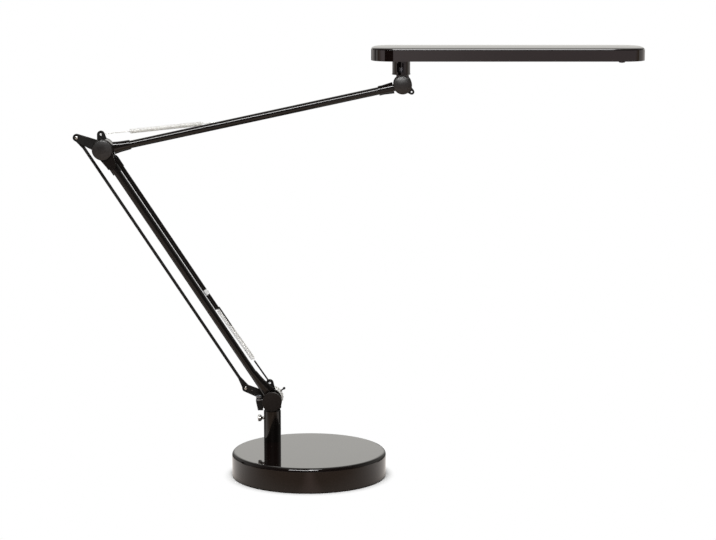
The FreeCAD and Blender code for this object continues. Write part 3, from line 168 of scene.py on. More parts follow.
class Finish(Shader):
    """A material with one Principled shader."""

    def __init__(self, name, **fixed):
        self.material = bpy.data.materials.new(name)
        super().__init__(self.material)
        self.principled = self.tree.nodes["Principled BSDF"]
        for socket, value in fixed.items():
            self.feed(socket.replace("_", " "), value)

    def feed(self, socket, value):
        """Set or link one socket of the Principled shader."""
        self.put(self.principled.inputs[socket], value)

    def bump(self, height, metres):
        """Let a height from 0 to 1 tilt the normal, with a given depth in metres."""
        self.feed("Normal", self.add("Bump", {}, {"Height": height, "Distance": metres}))


print("shader helpers ready")

# %% [markdown]
# ## Light
# Black gloss shows little of its own colour: what the eye reads is the room in it. The lamp stands
# in a studio with a narrow white wall behind it, so the base's top mirrors that wall at a grazing
# angle and turns mid grey, while its front, seen square on, stays nearly black. The room's sides
# and front are dim, which keeps the edges of post and tubes dark. A long lamp high overhead draws
# the bright line along the head's edge, a wide one in front draws the lines on the tubes, and a
# smaller one beside it helps to light the caps.

# %% World and lamps
WALL_COLOUR = (1.0, 0.985, 0.94, 1)
FRONT_LEVEL = 0.1
SIDE_LEVEL = 0.3
# each lamp's place, aim, width and length in metres, and its brightness in white walls
LAMPS = {
    "overhead": ((0.53, -0.36, 6.0), (0.53, -0.35, 0.0), 1.1, 0.6, 10),
    "front_wide": ((-0.3, -1.15, 1.6), (-0.1, 0.0, 0.45), 1.0, 0.26, 26),
    "front_key": ((0.2, -1.15, 1.6), (0.1, 0.0, 0.45), 0.34, 0.3, 22),
}


def make_world():
    """Brightness from direction: a white wall behind, dimmer at the sides, in front and above."""
    world = bpy.data.worlds.new("studio")
    bpy.context.scene.world = world
    shader = Shader(world)
    way = shader.add("TexCoord", {}, {}, output="Generated")
    side, back, height = (shader.add("SeparateXYZ", {}, {0: way}, output=axis) for axis in "XYZ")
    off_middle = shader.add("Math", {"operation": "ABSOLUTE"}, {0: side})
    wall = shader.spread(height, 0.12, 0.25, 0.85, 1.28) * shader.spread(height, 0.35, 0.85, 1.0, 0.35)
    width = shader.spread(off_middle, 0.16, 0.45, 1.0, SIDE_LEVEL)
    background = shader.tree.nodes["Background"].inputs
    shader.put(background["Color"], WALL_COLOUR)
    shader.put(background["Strength"], wall * width * shader.spread(back, -0.5, 0.3, FRONT_LEVEL, 1.0))


def make_lamp(name, place, aim, width, length, brightness):
    """A soft rectangular lamp that points at a spot, as bright as so many white walls."""
    data = bpy.data.lights.new(name, "AREA")
    data.shape = "RECTANGLE"
    data.size = width
    data.size_y = length
    data.energy = brightness * math.pi * width * length
    lamp = bpy.data.objects.new(name, data)
    lamp.location = place
    way = np.subtract(aim, place)
    level = math.hypot(way[0], way[1])
    lamp.rotation_euler = (math.atan2(level, -way[2]), 0, math.atan2(way[1], way[0]) - math.pi / 2)
    bpy.context.scene.collection.objects.link(lamp)


make_world()
for lamp_name, lamp_values in LAMPS.items():
    make_lamp(lamp_name, *lamp_values)

# %% [markdown]
# The floor is one pale sheet. Close to the base it is a plain diffuse surface that keeps the soft
# shadow; farther out the camera sees it as pure white, which is how such a picture is printed.
# Mirrored in black gloss its colour is a painted reflection: painted shade, warm and dim, in front,
# a painted lighter lane of light down the middle, and painted shade, dark, behind the lamp.
# A grey mat lies in front. Black cards stand for the room's dark side: a wide flag behind the
# camera and a narrow one at the left, which give the head's left corner its black bands.

# %% Floor and cards
WHITE = (1, 1, 1, 1)
BLACK = (0, 0, 0, 1)
LANE_MIDDLE = 0.006
LANE_HALF_WIDTH = 0.03
# the floor's colours in black gloss, painted reflection and painted shade: near and far in front, beside the base
# and behind it
NEAR_PAINTED_SHADE = (0.42, 0.31, 0.23, 1)
LANE_PAINTED_LIGHT = (0.75, 0.55, 0.46, 1)
FAR_LEFT_PAINTED_REFLECTION = (1.12, 0.98, 0.98, 1)
FAR_RIGHT_PAINTED_REFLECTION = (0.76, 0.64, 0.65, 1)
BESIDE_PAINTED_REFLECTION = (1.0, 0.93, 0.88, 1)
BEHIND_PAINTED_SHADE = (0.08, 0.075, 0.07, 1)


def make_sheet(name, corners, material):
    """A flat sheet from its corners, part of the studio and not of the lamp."""
    mesh = bpy.data.meshes.new(name)
    mesh.from_pydata(corners, [], [list(range(len(corners)))])
    mesh.materials.append(material)
    sheet = bpy.data.objects.new(name, mesh)
    bpy.context.scene.collection.objects.link(sheet)


def pale_floor():
    """Diffuse near the base, white farther out, and for mirrored rays a painted reflection, with painted shade
    warm and dim in front.
    """
    finish = Finish("pale_floor", Roughness=0.9, Specular_IOR_Level=0.1)
    camera_ray, mirrored, passed = (finish.add("LightPath", {}, {}, output=f"Is {ray} Ray")
                                    for ray in ("Camera", "Glossy", "Transmission"))
    where = finish.place()
    side, depth = (finish.add("SeparateXYZ", {}, {0: where}, output=axis) for axis in "XY")
    # painted reflection: the colour that mirrored rays see, with painted shade near the base and behind it and a
    # painted lighter lane
    off_lane = finish.add("Math", {"operation": "ABSOLUTE"}, {0: side - LANE_MIDDLE})
    lane = finish.spread(off_lane, 0.0, LANE_HALF_WIDTH, 1.0, 0.0)
    near = finish.mix(lane, NEAR_PAINTED_SHADE, LANE_PAINTED_LIGHT)
    far = finish.mix(finish.spread(side, 0.1, 0.9), FAR_LEFT_PAINTED_REFLECTION, FAR_RIGHT_PAINTED_REFLECTION)
    front = finish.mix(finish.spread(depth, -4.0, -0.6), far, near)
    beside = finish.mix(finish.spread(depth, -0.17, 0.03), front, BESIDE_PAINTED_REFLECTION)
    behind = finish.spread(depth, 0.06, 0.16) * finish.spread(off_lane, 3.0, 4.0, 1.0, 0.0)
    painted_reflection_colour = finish.mix(behind, beside, BEHIND_PAINTED_SHADE)
    colour = finish.mix(mirrored, WHITE, painted_reflection_colour)
    finish.feed("Base Color", finish.mix(0.05, colour, BLACK))
    white = finish.add("Emission", {}, {"Color": colour, "Strength": 1.0})
    distance = finish.add("VectorMath", {"operation": "LENGTH"}, {0: where}, output="Value")
    share = finish.spread(distance, 0.098, 0.113) * (camera_ray + mirrored + passed)
    painted = Wire(finish, finish.principled.outputs[0])
    surface = finish.add("MixShader", {}, {0: share, 1: painted, 2: white})
    finish.put(finish.tree.nodes["Material Output"].inputs["Surface"], surface)
    return finish.material


def matt_card(name, colour):
    """Matt card that shows in mirrors and shades the lamp, and lets the camera's own rays through."""
    finish = Finish(name, Base_Color=colour, Roughness=0.9, Specular_IOR_Level=0.0)
    camera_ray = finish.add("LightPath", {}, {}, output="Is Camera Ray")
    clear = finish.add("BsdfTransparent", {}, {})
    painted = Wire(finish, finish.principled.outputs[0])
    surface = finish.add("MixShader", {}, {0: camera_ray, 1: painted, 2: clear})
    finish.put(finish.tree.nodes["Material Output"].inputs["Surface"], surface)
    return finish.material


GREY_CARD = matt_card("grey_card", (0.60, 0.51, 0.47, 1))
BLACK_CARD = matt_card("black_card", (0.004, 0.004, 0.004, 1))


def level_sheet(name, half_width, front, back, height, material):
    """A level rectangle, symmetric about x = 0, between two depths."""
    corners = [(-half_width, front), (half_width, front), (half_width, back), (-half_width, back)]
    make_sheet(name, [(*corner, height) for corner in corners], material)


def upright_flag(name, first, last, tall):
    """A black card that stands on the floor between two points."""
    make_sheet(name, [(*first, 0), (*last, 0), (*last, tall), (*first, tall)], BLACK_CARD)


level_sheet("floor", 60, -60, 60, 0, pale_floor())
level_sheet("mat", 4, -4.4, -0.5, 0.002, GREY_CARD)
upright_flag("wide_flag", (-3.3, -3.4), (-0.05, -3.9), 0.8)
upright_flag("side_flag", (-1.83, 0.57), (-1.72, 0.86), 0.6)
print("studio ready")

# %% [markdown]
# ## Finishes
# The mouldings are piano black, the tubes a harder gloss paint, the plates and caps satin, the
# fasteners bright zinc. Each finish gets its own small irregularity at its real scale: orange
# peel in paint, a fine tooth in satin plastic, drawn lines along wire.

# %% Black finishes
def piano_black():
    """Deep gloss: colour drifts slowly, and faint smudges and dust lift the roughness."""
    finish = Finish("piano_black", IOR=1.5)
    smudge = finish.spread(finish.grain(14, 4.0), 0.5, 0.8)
    dust = finish.spread(finish.grain(2600, 1.0), 0.78, 0.86)
    drift = finish.mix(finish.grain(30), (0.0045, 0.0026, 0.0024, 1), (0.0075, 0.0046, 0.0040, 1))
    finish.feed("Base Color", drift)
    finish.feed("Roughness", 0.035 + 0.05 * smudge + 0.25 * dust)
    finish.bump(finish.grain(420), 0.000002)
    return finish.material


def gloss_paint(name, lift, rough):
    """Sprayed gloss on a tube: fine orange peel, and a slightly soft reflection."""
    finish = Finish(name, IOR=1.5)
    peel = finish.grain(700, 2.0)
    streak = finish.grain(260, 2.0, (0.06, 1, 1), lift)
    finish.feed("Base Color", finish.mix(streak, (0.0035, 0.0028, 0.0026, 1), (0.0080, 0.0062, 0.0052, 1)))
    finish.feed("Roughness", rough + 0.08 * finish.spread(streak, 0.35, 0.7))
    finish.bump(peel, 0.000006)
    return finish.material


def satin_black(name, warm, rough, shine):
    """Satin coat with a fine tooth; shine scales the strength of its reflection."""
    finish = Finish(name, IOR=1.5, Specular_IOR_Level=shine)
    tooth = finish.grain(2400, 2.0)
    patch = finish.grain(90, 3.0)
    plain = (0.005 + warm / 2, 0.005 + warm / 4, 0.0048 + warm / 5, 1)
    tinted = (0.005 + warm, 0.005 + warm / 2, 0.0048 + warm / 3, 1)
    finish.feed("Base Color", finish.mix(patch, plain, tinted))
    finish.feed("Roughness", rough + 0.14 * finish.spread(patch, 0.3, 0.7) + 0.05 * tooth)
    finish.bump(tooth, 0.00003)
    return finish.material


PIANO = piano_black()
LOWER_LIFT = math.radians(123.2)
UPPER_LIFT = math.radians(12.2)
POST_PAINT = gloss_paint("post_paint", math.pi / 2, 0.06)
LOWER_PAINT = gloss_paint("lower_paint", LOWER_LIFT, 0.12)
UPPER_PAINT = gloss_paint("upper_paint", UPPER_LIFT, 0.04)
# lit and shaded copies of one satin: a stronger shine paints the highlight on the elbow's and head's caps, a
# weaker shine paints shade on the lower cap
CAP_PAINTED_HIGHLIGHT = satin_black("cap_painted_highlight", 0.004, 0.32, 0.85)
CAP_PAINTED_SHADE = satin_black("cap_painted_shade", 0.009, 0.38, 0.3)
SATIN_PLATE = satin_black("satin_plate", 0.001, 0.42, 0.35)
print("black finishes ready")

# %% Bright metal, and the finishes inside
def bright_metal(name, colour, rough, lift=0.0, metal=1.0):
    """Bright metal, or a plated coat that is part metal, with fine lines along x of its own arm."""
    finish = Finish(name, Metallic=metal)
    lines = finish.grain(900, 2.0, (0.08, 1, 1), lift)
    stain = finish.spread(finish.grain(160, 3.0), 0.55, 0.85)
    dull = tuple(0.72 * channel for channel in colour)
    finish.feed("Base Color", finish.mix(stain, (*colour, 1), (*dull, 1)))
    finish.feed("Roughness", rough + 0.14 * lines + 0.12 * stain)
    finish.bump(lines, 0.000008)
    return finish.material


def cast_grain(name, first, second, rough, per_metre, depth):
    """A plain rough solid: two colours in a grain of one size, with a matching bump."""
    finish = Finish(name)
    grain = finish.grain(per_metre, 3.0)
    finish.feed("Base Color", finish.mix(finish.spread(grain, 0.35, 0.65), (*first, 1), (*second, 1)))
    finish.feed("Roughness", rough + 0.12 * grain)
    finish.bump(grain, depth)
    return finish.material


def milky_sheet():
    """The light-spreading sheet: milk-white with a fine moulded prism grid."""
    finish = Finish("milky_sheet", IOR=1.49, Transmission_Weight=0.25)
    where = finish.place()
    dots = finish.add("TexVoronoi", {}, {"Vector": where, "Scale": 620.0, "Randomness": 0.0})
    finish.feed("Base Color", finish.mix(dots, (0.90, 0.90, 0.88, 1), (0.80, 0.80, 0.78, 1)))
    finish.feed("Roughness", 0.32 + 0.2 * dots)
    finish.bump(dots, 0.00008)
    return finish.material


ZINC = bright_metal("bright_zinc", (0.70, 0.69, 0.66), 0.20)
DARK_ZINC = bright_metal("dark_zinc", (0.31, 0.34, 0.38), 0.24)
KNOB_METAL = bright_metal("knob_metal", (0.84, 0.83, 0.80), 0.42, metal=0.35)
LOWER_WIRE = bright_metal("lower_wire", (0.92, 0.91, 0.88), 0.34, LOWER_LIFT, 0.4)
UPPER_WIRE = bright_metal("upper_wire", (0.92, 0.91, 0.86), 0.34, UPPER_LIFT, 0.4)
IRON = cast_grain("grey_iron", (0.07, 0.07, 0.068), (0.13, 0.125, 0.12), 0.6, 900, 0.0002)
RUBBER = cast_grain("foot_rubber", (0.030, 0.030, 0.030), (0.045, 0.044, 0.043), 0.75, 1800, 0.00005)
BEARING = cast_grain("bearing_plastic", (0.008, 0.008, 0.008), (0.014, 0.014, 0.013), 0.4, 500, 0.00001)
WHITE_FRAME = cast_grain("white_frame", (0.82, 0.82, 0.81), (0.87, 0.87, 0.86), 0.5, 600, 0.00001)
BOARD = cast_grain("white_board", (0.66, 0.70, 0.66), (0.80, 0.82, 0.80), 0.45, 260, 0.00002)
AMBER = cast_grain("amber_resin", (0.86, 0.66, 0.20), (0.92, 0.80, 0.38), 0.35, 900, 0.00001)
MILKY = milky_sheet()
print("bright and inner finishes ready")

# %% Put the finishes on the solids
FINISHES = {
    PIANO: ("base_shell", "head_housing", "head_cover", "button"),
    POST_PAINT: ("post",),
    LOWER_PAINT: ("lower_hub", "lower_root", "lower_tube", "elbow_ferrule", "spring_sleeve"),
    UPPER_PAINT: ("upper_root", "upper_tube", "upper_collar", "upper_tip", "head_hub", "swivel_socket"),
    SATIN_PLATE: ("lower_plate", "elbow_plate", "head_ear", "parallel_rod", "power_inlet", "adjuster_lug",
                  "knob_lever"),
    CAP_PAINTED_SHADE: ("lower_cap",),
    CAP_PAINTED_HIGHLIGHT: ("elbow_front_cap", "elbow_rear_cap", "head_front_cap", "head_rear_cap"),
    ZINC: ("base_plate", "base_screws", "post_bolt", "post_washer", "post_spacer", "swivel_pin",
           "lower_bolt", "lock_screw", "spring_pin", "elbow_bolt", "elbow_nut", "rod_rivets",
           "spring_stud", "head_bolt", "head_nut", "peg_screw", "board_screws", "socket_screws"),
    DARK_ZINC: ("adjuster_screw",),
    KNOB_METAL: ("friction_knob",),
    LOWER_WIRE: ("lower_spring",),
    UPPER_WIRE: ("upper_spring",),
    IRON: ("base_weight",),
    RUBBER: ("base_pad",),
    BEARING: ("post_bush", "lower_washer", "elbow_washer"),
    WHITE_FRAME: ("reflector_frame",),
    BOARD: ("led_board", "switch_board"),
    AMBER: ("leds",),
    MILKY: ("diffuser",),
}
for material, names in FINISHES.items():
    for name in names:
        NODES[name].data.materials.clear()
        NODES[name].data.materials.append(material)
finished = {name for names in FINISHES.values() for name in names}
print("nodes without a finish:", sorted(set(NODES) - finished))

# %% [markdown]
# ## Places on the arms
# Each arm has a frame of its own: x along the arm, y away from the viewer, z to its upper side.
# The joints' positions in the record give the three pivots, so nothing is fitted by eye.

# %% Arm frames
PIVOT, ELBOW, HUB = (np.array(JOINTS[name]["pos_m"])
                     for name in ("lower_arm_tilt", "upper_arm_tilt", "head_tilt"))
AWAY = np.array([0.0, 1.0, 0.0])
UPRIGHT = np.array([0.0, 0.0, 1.0])


def unit(vectors):
    """Vectors scaled to length 1."""
    return vectors / np.linalg.norm(vectors, axis=-1, keepdims=True)


def set_down(points, origin, way):
    """Carry points in millimetres, x along way and y away from the viewer, to metres in the frame."""
    x = unit(np.asarray(way, float))
    axes = np.array([x, AWAY, np.cross(x, AWAY)])
    return np.asarray(origin) + points * MM @ axes


LOWER_WAY = unit(ELBOW - PIVOT)
UPPER_WAY = unit(HUB - ELBOW)
print("pivots", PIVOT.round(4), ELBOW.round(4), HUB.round(4))

# %% [markdown]
# ## Meshes from grids
# Every new piece is a grid of points: one direction runs along the piece, the other round it.
# The helper joins the grid's rows with quads, merges the points that meet at poles and seams,
# and says which solid the piece stands for.

# %% Grid mesh helper
def add_piece(name, grids, node, hides=True, material=None, blend=None):
    """Make one object from closed-round grids of shape (rows, sides, 3), and tie it to a solid.

    The piece takes that solid's finish, and its body unless a blend is given, and hides the solid unless it only
    adds to it.
    """
    mesh = bpy.data.meshes.new(name)
    points, faces, start = [], [], 0
    for grid in grids:
        rows, sides = grid.shape[:2]
        index = start + np.arange(rows * sides).reshape(rows, sides)
        after = np.roll(index, -1, axis=1)
        quads = np.stack([index[:-1], after[:-1], after[1:], index[1:]], axis=-1).reshape(-1, 4)
        points.append(grid.reshape(-1, 3))
        faces.append(quads)
        start += rows * sides
    mesh.from_pydata(np.concatenate(points).tolist(), [], np.concatenate(faces).tolist())
    shell = bmesh.new()
    shell.from_mesh(mesh)
    bmesh.ops.remove_doubles(shell, verts=shell.verts, dist=1e-7)
    bmesh.ops.recalc_face_normals(shell, faces=shell.faces)
    shell.to_mesh(mesh)
    shell.free()
    mesh.shade_smooth()
    mesh.materials.append(material or NODES[node].data.materials[0])
    piece = bpy.data.objects.new(name, mesh)
    bpy.context.scene.collection.objects.link(piece)
    if hides:
        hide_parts(node)
    if blend:
        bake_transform(piece)
    else:
        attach(piece, BODY_OF[node])
    print(name, "faces", len(mesh.polygons))


# %% [markdown]
# ## Balance springs
# Each arm hangs on an extension spring: a hook through an ear of the plate, a straight leg, a
# close coil, and a straight tail to its anchor. The coil is x = pitch a / 2 pi, y = r cos a,
# z = r sin a, and a round section is carried along that line.

# %% Springs
WIRE = 1.0
COIL_OUTSIDE = 6.3
COIL_RADIUS = (COIL_OUTSIDE - WIRE) / 2
TURNS = 50
STEPS_PER_TURN = 22
HOOK_BEND = 1.6
HOOK_LENGTH = 3.25
LEAD = 3.5
SHEATH_RADIUS = 1.1


def hermite(start, start_way, stop, stop_way, count):
    """A cubic from start to stop with the given end directions, sampled without its last point."""
    t = np.linspace(0, 1, count, endpoint=False)[:, None]
    return ((2 * t ** 3 - 3 * t ** 2 + 1) * start + (t ** 3 - 2 * t ** 2 + t) * start_way
            + (3 * t ** 2 - 2 * t ** 3) * stop + (t ** 3 - t ** 2) * stop_way)


def spring_line(coil_start, coil_length, tail):
    """Centre line along +x, its direction, and a side vector at each point that never lines up with it."""
    bend = np.linspace(0, np.pi / 2, 9)
    hook_line = np.column_stack([HOOK_BEND * (1 - np.cos(bend)), HOOK_BEND * (np.sin(bend) - 1), 0 * bend])
    hook_line = np.vstack([[0, -HOOK_LENGTH, 0], hook_line])
    angle = np.linspace(0, 2 * np.pi * TURNS, STEPS_PER_TURN * TURNS + 1)
    rise = coil_length / (2 * np.pi * TURNS)
    coil = np.column_stack([coil_start + rise * angle, COIL_RADIUS * np.cos(angle),
                            COIL_RADIUS * np.sin(angle)])
    ahead = np.array([1.0, 0, 0])
    round_way = unit(np.array([rise, 0, COIL_RADIUS]))
    near = ahead * (coil_start - LEAD)
    far = ahead * (coil_start + coil_length + LEAD)
    speed = 1.5 * math.hypot(LEAD, COIL_RADIUS)
    lead_in = hermite(near, ahead * speed, coil[0], round_way * speed, 12)
    lead_out = hermite(coil[-1], round_way * speed, far, ahead * speed, 12)[1:]
    leg = near - ahead * np.linspace(coil_start - LEAD - HOOK_BEND - 1, 1, 10)[:, None]
    tail_line = np.vstack([far, far + ahead, ahead * (tail - 1), ahead * tail])
    line = np.vstack([hook_line, leg, lead_in, coil, lead_out, tail_line])
    way = unit(np.gradient(line, axis=0))
    side = np.tile([0.0, 0, 1.0], (len(line), 1))
    first = len(hook_line) + len(leg)
    last = len(line) - len(tail_line)
    side[first:last] = unit(np.cross(way[first:last], AWAY))
    side[first + len(lead_in):first + len(lead_in) + len(coil)] = [-1.0, 0, 0]
    return line, way, side


def tube_grid(line, way, side, radius, sides=10):
    """A round section of the given radius carried along a line, closed with a point at each end."""
    across = unit(side - way * np.sum(side * way, axis=1, keepdims=True))
    upright = np.cross(way, across)
    angle = np.linspace(0, 2 * np.pi, sides, endpoint=False)[None, :, None]
    ring = radius * (np.cos(angle) * across[:, None] + np.sin(angle) * upright[:, None])
    body = line[:, None] + ring
    ends = [np.repeat(line[spot, None, None], sides, axis=1) for spot in (0, -1)]
    return np.concatenate([ends[0], body, ends[1]])


def add_spring(node, ear, anchor, coil_start, coil_length, short, bodies, sheath=False):
    """One balance spring from an ear's hole to a little short of its anchor, with or without a sheath."""
    span = anchor - ear
    length = np.linalg.norm(span) / MM - short
    line, way, side = spring_line(coil_start, coil_length, length)
    leg = unit(span) * (coil_start - LEAD) * MM
    blend = {"bodies": bodies, "start": tuple(ear + 0.1 * leg), "end": tuple(ear + leg)}
    wire_grid = set_down(tube_grid(line, way, side, WIRE / 2), ear, span)
    add_piece(node + "_wire", [wire_grid], node, blend=blend)
    if sheath:
        reach = np.linspace(HOOK_BEND, coil_start - LEAD, 12)
        line = np.column_stack([reach, 0 * reach, 0 * reach])
        way = np.tile([1.0, 0, 0], (len(line), 1))
        side = np.tile([0, 0, 1.0], (len(line), 1))
        # the sheath's black is partly a real cover on the leg and partly painted shade on it
        sheath_grid = set_down(tube_grid(line, way, side, SHEATH_RADIUS, 24), ear, span)
        add_piece(node + "_sheath", [sheath_grid], node, hides=False, material=SATIN_PLATE, blend=blend)


# depth of both springs, height of the lower arm's sleeve and of the upper arm's axis, in millimetres
SPRING_Y = 8.5
SLEEVE_Z = -5.7
UPPER_AXIS_Z = -1.5
LOWER_EAR = PIVOT + np.array([-3.4, SPRING_Y, 21.2]) * MM
UPPER_EAR = ELBOW + np.array([-3.3, SPRING_Y, 18.5]) * MM
LOWER_PIN = set_down(np.array([166.6, SPRING_Y, SLEEVE_Z]), PIVOT, LOWER_WAY)
UPPER_STUD = set_down(np.array([187.0, SPRING_Y, UPPER_AXIS_Z]), ELBOW, UPPER_WAY)
add_spring("lower_spring", LOWER_EAR, LOWER_PIN, coil_start=39, coil_length=80, short=1.05,
           bodies=("bracket", "lower_arm"), sheath=True)
add_spring("upper_spring", UPPER_EAR, UPPER_STUD, coil_start=38, coil_length=94, short=1.75,
           bodies=("elbow_plate", "upper_arm"))

# %% [markdown]
# ## Turned pieces
# Caps, knobs and screws are half sections turned about an axis. Their corners are eased, because
# an edge that is not sharp is what catches the light; a point close to each curve keeps the flats
# beside it flat.

# %% Turning helpers
def eased(corners, ease, steps=5):
    """A line with each inner corner rounded by the curve (1-t)^2 a + 2 t (1-t) b + t^2 c.

    a and c lie at a distance of ease from the corner b; one ease for all, or one for each corner.
    """
    corners = np.asarray(corners, float)
    reach = np.broadcast_to(ease, len(corners) - 2)[:, None]
    back = unit(corners[:-2] - corners[1:-1]) * reach
    ahead = unit(corners[2:] - corners[1:-1]) * reach
    t = np.linspace(0, 1, steps)[None, :, None]
    curve = corners[1:-1, None] + (1 - t) ** 2 * back[:, None] + t ** 2 * ahead[:, None]
    flats = corners[1:-1, None] + 1.15 * np.stack([back, ahead], axis=1)
    rows = np.concatenate([flats[:, :1], curve, flats[:, 1:]], axis=1)
    return np.vstack([corners[:1], rows.reshape(-1, corners.shape[1]), corners[-1:]])


def spin(section, centre, axis, sides=96, flutes=0, depth=0.0):
    """Turn rows of (radius, height) in millimetres about an axis through a centre in metres.

    A third column is the grip: there the radius falls by grip depth (1 + cos n a) / 2 in n flutes.
    """
    axis = np.asarray(axis, float)
    first = unit(np.cross(axis, [0.36, 0.48, 0.8]))
    angle = np.linspace(0, 2 * np.pi, sides, endpoint=False)
    radius = np.repeat(section[:, :1], sides, axis=1)
    if flutes:
        radius = radius - section[:, 2:] * depth * (0.5 + 0.5 * np.cos(flutes * angle))
    ring = np.cos(angle)[:, None] * first + np.sin(angle)[:, None] * np.cross(axis, first)
    return centre + MM * (section[:, 1, None, None] * axis + radius[:, :, None] * ring)


def middle(node, face):
    """The middle of one face of a node's box in metres, and the box's size in millimetres.

    The face is (axis, end), where end 0 is the low side of that axis and 1 the high side.
    """
    low, high = (np.array(corner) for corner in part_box(node))
    spot = (low + high) / 2
    axis, end = face
    spot[axis] = (low, high)[end][axis]
    return spot, (high - low) / MM


print("turning helpers ready")

# %% Caps
RECESS_RADIUS = 6.9


def add_cap(node, front, rise, recess, ease, shrink=0.0):
    """A domed cap: height = depth - rise (r / radius)^2, an eased rim, and a recess for bolt or nut."""
    seat, size = middle(node, (1, int(front)))
    radius = size[0] / 2 - shrink
    depth = size[1]
    reach = np.linspace(0, radius - 2 * ease, 16)
    dome = np.column_stack([reach, depth - rise * (reach / radius) ** 2])
    rim = eased([dome[-1], (radius, depth - rise), (radius, 0), (RECESS_RADIUS, 0),
                 (RECESS_RADIUS, recess), (0, recess)], (ease, 0.2, 0.2, 0.2))
    add_piece(node + "_dome", [spin(np.vstack([dome, rim[1:]]), seat, -AWAY if front else AWAY)], node)


BOLT_RECESS = 3.25
NUT_RECESS = 4.25
add_cap("lower_cap", True, 0.6, BOLT_RECESS, 0.7)
add_cap("elbow_front_cap", True, 1.7, BOLT_RECESS, 1.2, shrink=1.0)
add_cap("elbow_rear_cap", False, 1.2, NUT_RECESS, 1.3, shrink=0.7)
add_cap("head_front_cap", True, 3.0, BOLT_RECESS, 0.8)
add_cap("head_rear_cap", False, 1.2, NUT_RECESS, 0.9)

# %% Knob, screws, rivets and button
def add_knob():
    """The friction knob: a fluted drum with a dished back, bored for the bolt."""
    seat, size = middle("friction_knob", (1, 0))
    rim, thick = size[0] / 2, size[1]
    bore = 3.2
    bore_end = thick - 2.5
    line = eased([(0, bore_end), (bore, bore_end), (bore, 0), (rim - 3, 0), (rim, 1.2),
                  (rim, thick - 1.6), (rim - 2.4, thick), (rim - 4.5, thick),
                  (rim - 5.5, thick - 0.8), (0, thick - 1.2)],
                 (0.3, 0.3, 0.6, 0.8, 1.2, 0.9, 0.4, 0.4))
    grip = np.interp(line[:, 1], [0.4, 1.6, thick - 2.2, thick - 0.6], [0, 1, 1, 0])
    grip = grip * (line[:, 0] > rim - 3.4)
    drum_grid = spin(np.column_stack([line, grip]), seat, AWAY, sides=240, flutes=24, depth=1.0)
    add_piece("friction_knob_fluted", [drum_grid], "friction_knob")


def add_lock_screw():
    """The clamping screw: a shank, a flared neck and a knurled rim with a dished face."""
    low, high = (np.array(corner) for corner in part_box("lock_screw"))
    seat = np.array([high[0], (low[1] + high[1]) / 2, (low[2] + high[2]) / 2])
    long = (high[0] - low[0]) / MM
    rim = (high[2] - low[2]) / MM / 2
    shank = 2
    neck = long - 4.7
    line = eased([(0, 0), (shank, 0), (shank, neck - 0.6), (rim - 0.5, neck + 0.4),
                  (rim, neck + 0.9), (rim, long - 0.6), (rim - 0.6, long), (rim - 1.4, long),
                  (rim - 1.9, long - 0.5), (0, long - 0.7)],
                 (0.3, 0.8, 0.25, 0.3, 0.3, 0.2, 0.2, 0.2))
    grip = np.interp(line[:, 1], [neck + 0.6, neck + 1.2, long - 0.8, long - 0.4], [0, 1, 1, 0])
    grip = grip * (line[:, 0] > rim - 0.8)
    knurl = spin(np.column_stack([line, grip]), seat, (-1, 0, 0), sides=192, flutes=40, depth=0.12)
    add_piece("lock_screw_knurled", [knurl], "lock_screw")


def add_adjuster():
    """The adjuster screw: a stem and two knurled rims with a groove between them."""
    seat, size = middle("adjuster_screw", (2, 0))
    rim, tall = size[0] / 2, size[2]
    stem = 1.6
    foot = tall - 6.5
    groove_low, groove_high = foot + 2.7, foot + 3.8
    line = eased([(0, 0), (stem, 0), (stem, foot), (rim, foot), (rim, groove_low), (stem, groove_low),
                  (stem, groove_high), (rim, groove_high), (rim, tall), (0, tall)], 0.25)
    grip = (line[:, 0] > rim - 0.3) * 1.0
    knurl = spin(np.column_stack([line, grip]), seat, UPRIGHT, sides=192, flutes=36, depth=0.25)
    add_piece("adjuster_screw_knurled", [knurl], "adjuster_screw")


def add_rivets():
    """Two rivets with domed heads at both ends: the section is a shank between two flat domes."""
    low, high = (np.array(corner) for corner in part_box("rod_rivets"))
    head, shank, rise = 2.1, 1.3, 0.9
    thick = (high[1] - low[1]) / MM
    bend = np.linspace(0, np.pi / 2, 9)
    dome = np.column_stack([head * np.sin(bend), rise * np.cos(bend)])
    front = np.column_stack([dome[:, 0], rise - dome[:, 1]])
    rear = np.column_stack([dome[::-1, 0], thick - rise + dome[::-1, 1]])
    line = np.vstack([front, [(shank, rise), (shank, thick - rise)], rear])
    spots = [np.array([x, low[1], z]) for x, z in ((low[0] + head * MM, high[2] - head * MM),
                                                  (high[0] - head * MM, low[2] + head * MM))]
    add_piece("rod_rivets_domed", [spin(line, spot, AWAY, 40) for spot in spots], "rod_rivets")


def add_button():
    """The push button: a domed key under the housing with a flange inside it."""
    seat, size = middle("button", (2, 0))
    flange, tall = size[0] / 2, size[2]
    key, rise = 4.0, 0.6
    reach = np.linspace(0, key - 0.9, 10)
    dome = np.column_stack([reach, rise * (reach / key) ** 2])
    rest = eased([dome[-1], (key, rise), (key, tall - 1), (flange, tall - 1), (flange, tall), (0, tall)],
                 (0.6, 0.2, 0.2, 0.2))
    add_piece("button_domed", [spin(np.vstack([dome, rest[1:]]), seat, UPRIGHT, 64)], "button")


add_knob()
add_lock_screw()
add_adjuster()
add_rivets()
add_button()

# %% [markdown]
# ## Sleeves on the arms
# Both ends of the upper arm sit in tapered sleeves, flatter across than they are tall, and so does
# the lower arm's root. The elbow's drum, whose top glints behind its cap, is turned.

